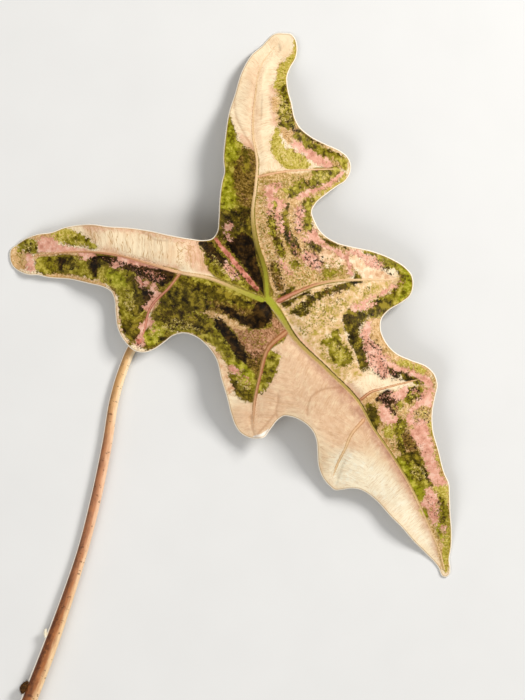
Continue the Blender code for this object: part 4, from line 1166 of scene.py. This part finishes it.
def vein_colouring(survey):
    """How far each place lies inside a vein in mm, how far across the vein in half widths, and the tones of
    the vein's left side, crest and right side there."""
    depth = np.full(len(survey.at), -VEIN_OUTSIDE)
    across = np.full(len(survey.at), VEIN_ACROSS)
    tones = np.zeros((3, len(survey.at), 4))
    for vein, gap, along, side in survey.veins:
        rows = VEIN_CHANGES[vein.name]
        half = vein.half_width(along)
        share, least = (MAIN_VEIN_SHOWN, MAIN_VEIN_END) if vein.name in MAIN_VEINS else (1.0, 0.0)
        shown = share * half * (least + (1 - least) * smooth_step((1.0 - along) / VEIN_FADE))
        inwards = (shown - gap) / MM
        better = inwards > depth
        shares = [row[0] for row in rows]
        for number in range(3):
            colours = np.array([linear(VEIN_TONES[row[number + 1]]) for row in rows])
            for channel in range(4):
                tones[number, better, channel] = np.interp(along[better], shares, colours[:, channel])
        across[better] = np.clip(side * gap / half, -VEIN_ACROSS, VEIN_ACROSS)[better]
        depth[better] = inwards[better]
    return depth, across, tones


def add_values(mesh, name, values):
    """A value at each of the mesh's points, for its material to read."""
    values = np.asarray(values, np.float32)
    if values.ndim == 1:
        mesh.attributes.new(name, "FLOAT", "POINT").data.foreach_set("value", values)
    else:
        mesh.attributes.new(name, "FLOAT_COLOR", "POINT").data.foreach_set("color", values.ravel())


def add_object(name, points, faces, finish):
    mesh = bpy.data.meshes.new(name)
    mesh.from_pydata([tuple(p) for p in points], [], faces)
    mesh.shade_smooth()
    mesh.materials.append(finish)
    made = bpy.data.objects.new(name, mesh)
    bpy.context.scene.collection.objects.link(made)
    return made


class Finish:
    """A material's nodes, added in words that say what each one does."""

    def __init__(self, name):
        self.material = bpy.data.materials.new(name)
        self.material.use_nodes = True
        self.tree = self.material.node_tree
        self.tree.nodes.clear()
        self.place = self.node("ShaderNodeTexCoord").outputs["Object"]

    def node(self, kind, feeds=None, **settings):
        """A node with its settings. Each feed, a value or another node's output, goes to the socket named."""
        made = self.tree.nodes.new(kind)
        for name, value in settings.items():
            setattr(made, name, value)
        for socket, value in (feeds or {}).items():
            if isinstance(value, bpy.types.NodeSocket):
                self.tree.links.new(value, made.inputs[socket])
            else:
                made.inputs[socket].default_value = value
        return made

    def math(self, operation, *values):
        return self.node("ShaderNodeMath", dict(enumerate(values)), operation=operation).outputs[0]

    def times(self, first, second):
        return self.math("MULTIPLY", first, second)

    def plus(self, first, second):
        return self.math("ADD", first, second)

    def less(self, first, second):
        return self.math("SUBTRACT", first, second)

    def blend(self, share, under, over):
        """Two values mixed."""
        return self.node("ShaderNodeMix", {0: share, 2: under, 3: over}, data_type="FLOAT").outputs[0]

    def value(self, name):
        return self.node("ShaderNodeAttribute", attribute_name=name).outputs["Fac"]

    def colour(self, name):
        return self.node("ShaderNodeAttribute", attribute_name=name).outputs["Color"]

    def grain(self, size, detail=2.0, roughness=0.55, seed=0.0, at=None):
        """Noise from 0 to 1 with forms of about that size in mm. The seed picks one of many such noises."""
        feeds = {"Vector": at or self.place, "W": seed, "Scale": 1 / (size * MM), "Detail": detail,
                 "Roughness": roughness}
        return self.node("ShaderNodeTexNoise", feeds, noise_dimensions="4D").outputs["Fac"]

    def rise(self, value, low, high):
        """0 on the side of low, 1 on the side of high, and smooth between."""
        feeds = {"Value": value, "From Min": low, "From Max": high}
        return self.node("ShaderNodeMapRange", feeds, interpolation_type="SMOOTHSTEP").outputs["Result"]

    def between(self, value, low, high):
        """0 to 1 brought to the range from low to high."""
        feeds = {"Value": value, "To Min": low, "To Max": high}
        return self.node("ShaderNodeMapRange", feeds).outputs["Result"]

    def mix(self, share, under, over, way="MIX"):
        """Two colours mixed."""
        feeds = {0: share, 6: under, 7: over}
        return self.node("ShaderNodeMix", feeds, data_type="RGBA", blend_type=way).outputs[2]

    def bump(self, height, distance, strength, over=None):
        """Relief as high as the distance in metres, laid over other relief where that is given."""
        feeds = {"Height": height, "Distance": distance, "Strength": strength}
        if over:
            feeds["Normal"] = over
        return self.node("ShaderNodeBump", feeds).outputs["Normal"]

    def skin(self, colour, roughness, more):
        """The surface itself, with more of its sockets fed as named."""
        return self.node("ShaderNodeBsdfPrincipled", {"Base Color": colour, "Roughness": roughness} | more)

    def close(self, shader):
        out = self.node("ShaderNodeOutputMaterial")
        self.tree.links.new(shader.outputs[0], out.inputs["Surface"])
        return self.material


def combed(finish, size, seed, roughness=0.6, stretch=0.28):
    """Noise drawn out along the small ribs, square to the nearest vein. It gives way to even noise where two
    veins are equally near, at the margin and on the veins."""
    sway = finish.between(finish.grain(5.0, 2.0, seed=3.0), -1.2, 1.2)
    along = finish.times(finish.plus(finish.value("along vein"), sway), MM)
    off = finish.times(finish.value("off vein"), stretch * MM)
    at = finish.node("ShaderNodeCombineXYZ", {0: along, 1: off})
    drawn_out = finish.grain(size, 3.0, roughness, seed, at.outputs[0])
    even = finish.grain(size * 1.4, 3.0, roughness, seed + 0.2)
    return finish.blend(finish.value("rib shade"), even, drawn_out)


def torn_grain(finish, size, seed, share=0.5):
    """Noise for torn borders and tones: even grain, a share of it drawn out along the ribs."""
    return finish.blend(share, finish.grain(size, 4.0, 0.7, seed), combed(finish, size, seed + 0.3, 0.75))


def patchy_grain(finish, seed):
    """Noise for the smoother paints: clouds a few millimetres across with a fainter fine grain."""
    return finish.blend(0.33, finish.grain(CLOUD_SIZE, 4.0, 0.62, seed), torn_grain(finish, 0.9, seed + 0.5))


def ground(finish):
    """The pale ground between the markings: cream to beige."""
    drift = finish.rise(finish.grain(9.0, 4.0, 0.6, seed=1.0), *GROUND_DRIFT)
    colour = finish.mix(drift, CREAM, BEIGE)
    broad = finish.rise(combed(finish, 1.3, 2.0, 0.65), *GROUND_STREAKS)
    return finish.mix(finish.times(broad, STREAK_SHARE), colour, STREAK)


def lay_hairs(finish, under):
    """Thin wavy lines along the small ribs, and over them the stronger wrinkles of the left lobe."""
    hair = finish.rise(combed(finish, 0.45, 4.0, 0.7, 0.11), *HAIR_LIMITS)
    patchy = finish.between(finish.rise(finish.grain(5.0, 3.0, seed=4.5), 0.35, 0.65), *HAIR_SHARES)
    colour = finish.mix(finish.times(hair, patchy), under, RIB_LINE)
    lines = finish.math("ABSOLUTE", finish.less(combed(finish, 1.9, 6.0, 0.55, 0.10), 0.5))
    lines = finish.rise(lines, *WRINKLE_LIMITS)
    wrinkled = finish.rise(finish.value("wrinkled"), -WRINKLED_SOFTNESS, WRINKLED_SOFTNESS)
    strong = finish.between(wrinkled, *WRINKLE_SHARES)
    return finish.mix(finish.times(lines, strong), colour, WRINKLE)


def lay_paint(finish, under, name, tear, grain, stray_grain, fine):
    """One paint over what is under it: three tones in grains, stray grains of a fourth, a torn border and a
    broken dark line round it."""
    dark, middle, light, stray, share, torn, soft, spread, line = PAINTS[name]
    inwards = finish.plus(finish.value(name), finish.times(finish.less(tear, 0.5), torn * TEAR_GAIN))
    if line:
        near = finish.rise(inwards, LINE_OUTSIDE - spread, LINE_INSIDE - spread)
        near = finish.times(near, finish.rise(fine, *LINE_BREAKS))
        under = finish.mix(finish.times(near, line), under, PAINT_LINE)
    paint = finish.mix(finish.rise(grain, DARK_TO, MIDDLE), linear(dark), linear(middle))
    paint = finish.mix(finish.rise(grain, MIDDLE, LIGHT_FROM), paint, linear(light))
    loose = finish.rise(stray_grain, *[limit - STRAY_SPREAD * share for limit in STRAY_LIMITS])
    paint = finish.mix(finish.times(loose, STRAY_COVER), paint, linear(stray))
    return finish.mix(finish.rise(inwards, -soft / 2 - spread, soft / 2 - spread), under, paint)


def lay_specks(finish, under, name, seed):
    """Small irregular specks, thicker towards the middle of the places drawn for them."""
    tone, other, size, share = SPECKS[name]
    thick = finish.times(finish.rise(finish.value(name), -SPECK_SOFTNESS, SPECK_SOFTNESS), share)
    clusters = finish.between(finish.grain(3.0, 2.0, seed=seed + 5), *SPECK_CLUSTERS)
    clustered = finish.times(thick, clusters)
    over = finish.plus(finish.grain(size, 4.0, 0.75, seed), clustered)
    drift = finish.rise(finish.grain(1.2, 2.0, seed=seed + 7), 0.42, 0.58)
    colour = finish.mix(drift, linear(tone), linear(other))
    return finish.mix(finish.rise(over, *SPECK_LIMITS), under, colour)


def lay_veins(finish, under):
    """The veins, each with a paler crest between two darker sides, worn into what is beside them."""
    across = finish.value("across vein")
    worn = finish.less(finish.grain(1.0, 4.0, 0.7, seed=60.0), 0.5)
    left = finish.rise(finish.plus(across, finish.times(worn, 0.8)), *VEIN_SIDE)
    right = finish.rise(finish.less(worn, across), *VEIN_SIDE)
    # Sides partly painted shade, crest partly painted highlight
    colour = finish.mix(left, finish.colour("vein crest"), finish.colour("vein left"))
    colour = finish.mix(right, colour, finish.colour("vein right"))
    flecked = finish.rise(finish.grain(0.8, 3.0, 0.7, seed=62.5), *FLECK_LIMITS)
    colour = finish.mix(finish.times(flecked, FLECK_SHARE), colour, PAINT_LINE)
    cover = finish.rise(finish.plus(finish.value("vein"), worn), *VEIN_BORDER)
    return finish.mix(cover, under, colour)


def blade_colour(finish):
    colour = ground(finish)
    calm = finish.rise(finish.value("vein"), *CALM_BESIDE_VEIN)
    tears = [finish.blend(calm, torn_grain(finish, TEAR_SIZE, 10.0 + kind, 0.25), 0.5)
             for kind in range(TEAR_KINDS)]
    lace = [torn_grain(finish, GRAIN_SIZE, 20.0 + kind) for kind in range(GRAIN_KINDS)]
    patches = [patchy_grain(finish, 24.0 + kind) for kind in range(GRAIN_KINDS)]
    fine = finish.grain(0.7, 3.0, 0.7, 30.0)
    for number, name in enumerate(PAINTS):
        grain = (lace if name in LACY else patches)[number % GRAIN_KINDS]
        stray = lace[(number + 1) % GRAIN_KINDS]
        colour = lay_paint(finish, colour, name, tears[number % TEAR_KINDS], grain, stray, fine)
        if name == "blush":
            colour = lay_hairs(finish, colour)
    for number, name in enumerate(SPECKS):
        colour = lay_specks(finish, colour, name, 40.0 + number)
    # Painted shade along the creases
    colour = finish.mix(finish.times(finish.value("crease"), CREASE_SHADE_SHARE), colour, CREASE_SHADE)
    colour = lay_veins(finish, colour)
    edge = finish.value("edge")
    rim_line = finish.times(finish.rise(edge, *RIM_LINE_FADE), RIM_LINE_SHARE)
    colour = finish.mix(rim_line, colour, RIM_LINE)
    # The pale margin with its painted glow
    colour = finish.mix(finish.rise(edge, *RIM_FADE), colour, RIM_PALE_AND_GLOW)
    pores = finish.times(finish.grain(0.5, 2.0, seed=61.0), PORE_SHARE)
    colour = finish.mix(pores, colour, PORE, "MULTIPLY")
    return finish.mix(finish.times(finish.value("underside"), UNDERSIDE_SHARE), colour, UNDERSIDE)


def blade_finish():
    finish = Finish("blade")
    colour = blade_colour(finish)
    roughness = finish.between(finish.grain(3.0, 3.0, seed=62.0), 0.36, 0.60)
    rough = finish.bump(combed(finish, 0.9, 63.0), 0.16 * MM, 0.6)
    rough = finish.bump(finish.grain(0.6, 2.0, seed=64.0), 0.06 * MM, 0.5, rough)
    skin = finish.skin(colour, roughness, {"Specular IOR Level": BLADE_SHINE, "Normal": rough})
    glow = finish.node("ShaderNodeBsdfTranslucent", {"Color": colour})
    feeds = {0: BLADE_GLOW, 1: skin.outputs[0], 2: glow.outputs[0]}
    return finish.close(finish.node("ShaderNodeMixShader", feeds))


def make_blade(leaf):
    """One closed sheet: the upper face, the underside and the rounded rim between them."""
    upper, upper_faces = net(leaf, UPPER_GRID, RIM_ROWS, VEIN_ROWS)
    lower, lower_faces = net(leaf, UNDER_GRID, RIM_ROWS[1:2], ())
    above, below = Survey(leaf, upper), Survey(leaf, lower)
    along_vein, off_vein, fade = leaf.rib_places(above)
    tops = leaf.height(above) + leaf.fine_relief(above, along_vein, fade)
    unders = leaf.under(below)
    count = len(leaf.outline)
    middle = np.column_stack([leaf.outline, (tops[:count] + unders[:count]) / 2])
    points = np.vstack([np.column_stack([upper, tops]), np.column_stack([lower, unders]), middle])
    first_lower, first_middle = len(upper), len(upper) + len(lower)
    faces = upper_faces.tolist() + (lower_faces[:, ::-1] + first_lower).tolist()
    for k in range(count):
        after = (k + 1) % count
        faces.append((k, after, first_middle + after, first_middle + k))
        faces.append((first_middle + k, first_middle + after, first_lower + after, first_lower + k))
    blade = add_object("leaf_blade", points, faces, blade_finish())
    give_markings(blade.data, leaf, points[:, :2], first_lower, first_middle)
    return blade


def give_markings(mesh, leaf, at, first_lower, first_middle):
    """Every value that the blade's finish reads."""
    survey = Survey(leaf, at)
    for name, outlines in (BLOTCHES | SPECKLED | WRINKLED).items():
        add_values(mesh, name, drawn_distance(outlines, at))
    along_vein, off_vein, fade = leaf.rib_places(survey)
    add_values(mesh, "along vein", along_vein / MM)
    add_values(mesh, "off vein", off_vein / MM)
    add_values(mesh, "rib shade", fade)
    # How strongly the painted shade along the creases covers each place
    add_values(mesh, "crease", np.exp(-((survey.crease / CREASE_SHADE_WIDTH) ** 2)))
    depth, across, tones = vein_colouring(survey)
    add_values(mesh, "vein", depth)
    add_values(mesh, "across vein", across)
    for name, tone in zip(("vein left", "vein crest", "vein right"), tones):
        add_values(mesh, name, tone)
    add_values(mesh, "edge", survey.edge / MM)
    underside = np.zeros(len(at))
    underside[first_lower:first_middle] = 1.0
    add_values(mesh, "underside", underside)


def stalk_rows(leaf):
    """The middle of the stalk and its radius, from its seat under the junction to its cut end."""
    seat = leaf.pad_height() - SEAT_GAP
    joint = leaf.junction
    rows = [(*joint, seat, SEAT_RADIUS), (*(joint - (NECK_SHIFT, 0)), seat - NECK_DROP, NECK_RADIUS)]
    for x, y, middle, radius in STALK:
        place = plan([(x, y)])[0]
        rows.append((*place, radius * MM if middle is None else middle * MM, radius * MM))
    curve = smooth_curve(rows, STALK_STEP)
    curve[:, 2] = np.maximum(curve[:, 2], curve[:, 3])
    return curve


def ways_along(middles):
    """The direction of travel at each of the places."""
    ways = np.gradient(middles, axis=0)
    return ways / np.linalg.norm(ways, axis=1)[:, None]


def draw_out(middles, ways, sizes):
    """In edit mode, extrudes the selected end face through the places, turns it to face along the way and
    scales it by the change of size, in the plan and upwards."""
    for number in range(1, len(middles)):
        middle, way, before = Vector(middles[number]), Vector(ways[number]), Vector(ways[number - 1])
        step = middle - Vector(middles[number - 1])
        bpy.ops.mesh.extrude_region_move(TRANSFORM_OT_translate={"value": step})
        axis = before.cross(way)
        if axis.length > 1e-6:
            axis.normalize()
            side = axis.orthogonal().normalized()
            basis = Matrix((side, axis.cross(side), axis)).transposed()
            bpy.ops.transform.rotate(value=before.angle(way), orient_axis="Z", orient_type="GLOBAL",
                                     orient_matrix=basis, orient_matrix_type="GLOBAL",
                                     constraint_axis=(False, False, True), center_override=middle)
        flat, tall = sizes[number] / sizes[number - 1]
        bpy.ops.transform.resize(value=(flat, flat, tall), center_override=middle)


def end_face(name, sides, middle, way):
    """A filled circle of radius 1 mm that faces along the way, in edit mode with all of it selected."""
    bpy.ops.object.select_all(action="DESELECT")
    facing = Vector(way).to_track_quat("Z", "Y").to_euler()
    bpy.ops.mesh.primitive_circle_add(vertices=sides, radius=MM, fill_type="NGON", location=middle,
                                      rotation=facing)
    made = bpy.context.object
    made.name = name
    bpy.ops.object.transform_apply(location=True, rotation=True, scale=True)
    bpy.ops.object.mode_set(mode="EDIT")
    bpy.ops.mesh.select_all(action="SELECT")
    return made


def finish_piece(made, finish):
    """Out of edit mode, with its normals outwards, smooth, and its material on."""
    bpy.ops.mesh.select_all(action="SELECT")
    bpy.ops.mesh.normals_make_consistent(inside=False)
    bpy.ops.object.mode_set(mode="OBJECT")
    bpy.ops.object.shade_smooth_by_angle(angle=SMOOTH_BELOW)
    made.data.materials.append(finish)


def make_stalk(leaf):
    """Drawn out from the cut end up to the seat, with a fine keel down its left side."""
    rows = stalk_rows(leaf)[::-1]
    middles, radii = rows[:, :3], rows[:, 3]
    ways = ways_along(middles)
    ways[-1] = (0, 0, 1)
    stalk = end_face("leaf_stalk", STALK_SIDES, middles[0], ways[0])
    up = np.array((0.0, 0.0, 1.0))
    left = np.cross(up, ways[0])
    keel = Vector(middles[0] + MM * (math.cos(KEEL_TURN) * up + math.sin(KEEL_TURN) * left))
    bpy.ops.object.mode_set(mode="OBJECT")
    nearest_corner = min(stalk.data.vertices, key=lambda corner: (corner.co - keel).length)
    stalk.data.polygons[0].select = False
    for edge in stalk.data.edges:
        edge.select = False
    for corner in stalk.data.vertices:
        corner.select = corner == nearest_corner
    bpy.ops.object.mode_set(mode="EDIT")
    bpy.ops.transform.resize(value=(KEEL_SHARE,) * 3, center_override=Vector(middles[0]))
    bpy.ops.mesh.select_all(action="SELECT")
    bpy.ops.transform.resize(value=(radii[0] / MM,) * 3, center_override=Vector(middles[0]))
    draw_out(middles, ways, np.column_stack([radii, radii]))
    finish_piece(stalk, stalk_finish())
    give_stalk_places(stalk.data, middles, radii, ways)
    return stalk


def give_stalk_places(mesh, middles, radii, ways):
    """How far along, how far up and how far to the right each point of the stalk lies."""
    frames = []
    left = np.cross((0.0, 0.0, 1.0), ways[0])
    for way in ways:
        left = left - way * np.dot(left, way)
        left /= np.linalg.norm(left)
        frames.append((np.cross(way, left), left))
    values = []
    for corner in mesh.vertices:
        offs = np.array(corner.co) - middles
        number = int(np.argmin((offs**2).sum(axis=1)))
        up, left = frames[number]
        along = (len(middles) - 1 - number) * STALK_STEP / MM
        values.append((along, offs[number] @ up / radii[number], -(offs[number] @ left) / radii[number]))
    for name, column in zip(("along", "up", "right"), np.array(values).T):
        add_values(mesh, name, column)


def along_stalk(finish, stretch, around):
    """Noise places on the stalk: a length of 1 mm along it counts as stretch, and its radius as around."""
    parts = [finish.times(finish.value(name), length * MM)
             for name, length in (("along", stretch), ("up", around), ("right", around))]
    return finish.node("ShaderNodeCombineXYZ", dict(enumerate(parts))).outputs[0]


def stalk_finish():
    """Golden tan under the leaf, then pinkish, then rusty brown; painted shade left, painted highlight right."""
    finish = Finish("stalk")
    along, right = finish.value("along"), finish.value("right")
    streaks = finish.grain(1.1, 4.0, 0.65, 1.0, along_stalk(finish, 0.14, 2.5))
    mottle = finish.grain(3.0, 3.0, 0.6, 3.0)
    tones = [linear(code) for code in STALK_TONES[0][2:]]
    for start, end, *codes in STALK_TONES[1:]:
        share = finish.rise(finish.plus(along, finish.times(mottle, STALK_MOTTLE)), start, end)
        tones = [finish.mix(share, tone, linear(code)) for tone, code in zip(tones, codes)]
    tone, shade, glint = tones
    wander = finish.plus(right, finish.times(finish.less(streaks, 0.5), STALK_WANDER))
    leftwards = finish.times(wander, -1.0)
    # Painted shade down the left side and a painted highlight down the right
    colour = finish.mix(finish.rise(leftwards, *SHADE_FROM), tone, shade)
    colour = finish.mix(finish.times(finish.rise(wander, *GLINT_FROM), GLINT_SHARE), colour, glint)
    lower = finish.between(finish.rise(along, *CLOUDS_ALONG), *CLOUD_SHARES)
    clouds = finish.grain(1.5, 5.0, 0.75, 5.0, along_stalk(finish, 0.35, 2.4))
    shadowed = finish.times(finish.rise(clouds, *DARK_CLOUDS), finish.rise(leftwards, *CLOUDS_FROM))
    colour = finish.mix(finish.times(shadowed, lower), colour, FLECK)
    rusty = finish.times(finish.rise(clouds, *RUSTY_CLOUDS), RUST_SHARE)
    colour = finish.mix(finish.times(rusty, lower), colour, RUST)
    short = finish.grain(1.5, 2.0, 0.6, 2.0, along_stalk(finish, 1.0, 1.7))
    flecks = finish.times(finish.rise(short, *STALK_FLECKS), STALK_FLECK_SHARE)
    colour = finish.mix(flecks, colour, FLECK)
    # A painted rim highlight along the keel
    colour = finish.mix(finish.rise(finish.times(right, -1.0), *KEEL_HIGHLIGHT_FROM), colour, KEEL_HIGHLIGHT)
    more = {"Specular IOR Level": STALK_SHINE, "Normal": finish.bump(streaks, 0.25 * MM, 0.6)}
    return finish.close(finish.skin(colour, finish.between(streaks, 0.34, 0.55), more))


def scrap_finish(name, tone, other):
    finish = Finish(name)
    colour = finish.mix(finish.rise(finish.grain(0.7, 4.0, 0.7), 0.42, 0.60), linear(tone), linear(other))
    roughness = finish.between(finish.grain(0.6, seed=2.0), 0.6, 0.9)
    fibrous = finish.bump(finish.grain(0.35, 4.0, seed=3.0), 0.3 * MM, 0.4)
    more = {"Specular IOR Level": SCRAP_SHINE, "Normal": fibrous}
    return finish.close(finish.skin(colour, roughness, more))


def make_scrap(name, finish, swell=SCRAP_SWELL):
    """A scrap of dry sheath, drawn out along its stations and rounded."""
    rows = np.array(SCRAPS[name])
    middles = np.column_stack([plan(rows), rows[:, 3] * MM])
    sizes = rows[:, [2, 4]] * MM / 2 * swell
    ways = ways_along(middles * (1, 1, 0))
    scrap = end_face(name, SCRAP_SIDES, middles[0], ways[0])
    flat, tall = sizes[0] / MM
    bpy.ops.transform.resize(value=(flat, flat, tall), center_override=Vector(middles[0]))
    draw_out(middles, ways, sizes)
    finish_piece(scrap, finish)
    rounding = scrap.modifiers.new("rounding", "SUBSURF")
    rounding.levels = ROUNDINGS
    rounding.render_levels = ROUNDINGS
    bpy.ops.object.modifier_apply(modifier="rounding")
    return scrap


def make_husk(finish):
    """The dark scrap: ragged, with short loose fibres all round."""
    husk = make_scrap("dark_husk", finish, HUSK_SWELL)
    random = np.random.default_rng(FIBRE_SEED)
    # Rounding leaves the corners in no fixed order, so they are put in one for the draw.
    corners = sorted(husk.data.vertices, key=lambda corner: [round(part / MM, 3) for part in corner.co])
    roots = random.choice(len(corners), HUSK_FIBRES, replace=False)
    places = [(corners[k].co.copy(), corners[k].normal.copy()) for k in roots.tolist()]
    fibres = []
    for place, normal in places:
        if place.z < FIBRES_ABOVE:
            continue
        way = (normal + Vector(random.uniform(-FIBRE_STRAY, FIBRE_STRAY, 3))).normalized()
        length = random.uniform(*FIBRE_LENGTHS) * MM
        bpy.ops.object.select_all(action="DESELECT")
        bpy.ops.mesh.primitive_cone_add(vertices=FIBRE_SIDES, radius1=FIBRE_ROOT, radius2=FIBRE_TIP,
                                        depth=length, location=place + way * length * FIBRE_OUT,
                                        rotation=way.to_track_quat("Z", "Y").to_euler())
        bpy.context.object.data.materials.append(finish)
        fibres.append(bpy.context.object)
    bpy.ops.object.select_all(action="DESELECT")
    for made in (husk, *fibres):
        made.select_set(True)
    bpy.context.view_layer.objects.active = husk
    bpy.ops.object.join()
    return husk


def floor_finish():
    finish = Finish("floor")
    tone = finish.mix(finish.grain(30.0, 2.0), *[linear(code) for code in FLOOR_TONES])
    return finish.close(finish.skin(tone, FLOOR_ROUGHNESS, {}))


def make_floor():
    bpy.ops.object.select_all(action="DESELECT")
    bpy.ops.mesh.primitive_plane_add(size=FLOOR_SIZE, location=(0, 0, 0))
    floor = bpy.context.object
    floor.name = "floor"
    floor.data.materials.append(floor_finish())


def light(name, place, size, power, colour):
    """A lamp turned to the middle of the leaf."""
    bpy.ops.object.light_add(type="AREA", location=place)
    lamp = bpy.context.object
    lamp.name = name
    lamp.data.size = size
    lamp.data.energy = power
    lamp.data.color = colour
    lamp.rotation_euler = (-Vector(place)).to_track_quat("-Z", "Y").to_euler()


def set_stage():
    make_floor()
    for name, settings in LIGHTS.items():
        light(name, *settings)
    world = bpy.data.worlds.new("pale room")
    world.use_nodes = True
    air = world.node_tree.nodes["Background"]
    air.inputs["Color"].default_value = ROOM_COLOUR
    air.inputs["Strength"].default_value = ROOM_STRENGTH
    bpy.context.scene.world = world
    bpy.context.scene.view_settings.view_transform = "Standard"


def set_camera():
    """Straight above, far enough for a flat view, with the picture's frame at the leaf's mean height."""
    width, height = PICTURE
    middle = plan([(width / 2, height / 2)])[0]
    bpy.ops.object.camera_add(location=(*middle, MEAN_HEIGHT + CAMERA_DISTANCE), rotation=(0, 0, 0))
    camera = bpy.context.object
    camera.data.sensor_fit = "VERTICAL"
    camera.data.sensor_height = CAMERA_SENSOR
    camera.data.lens = CAMERA_SENSOR * CAMERA_DISTANCE / (height * PIXEL)
    camera.data.clip_start = 0.05
    bpy.context.scene.camera = camera


# The plan is set where the blade's solid lies, which follows the same outline in longer steps.
plan_shift = np.zeros(2)
solid_outline = smooth_curve(plan(OUTLINE_PX), SOLID_MARGIN_SPACING, closed=True)
plan_shift = np.array(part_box("blade")[0][:2]) - solid_outline.min(axis=0)

leaf = Leaf()
blade = make_blade(leaf)
stalk = make_stalk(leaf)
scrap = make_scrap("sheath_scrap", scrap_finish("dry sheath", "#F2EDDC", "#DDD2B4"))
husk = make_husk(scrap_finish("dark husk", "#5A3A16", "#2A1A0C"))
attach(blade, "root")
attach(stalk, "root")
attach(scrap, "root")
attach(husk, "root")
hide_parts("blade")
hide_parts("petiole")
set_stage()
set_camera()
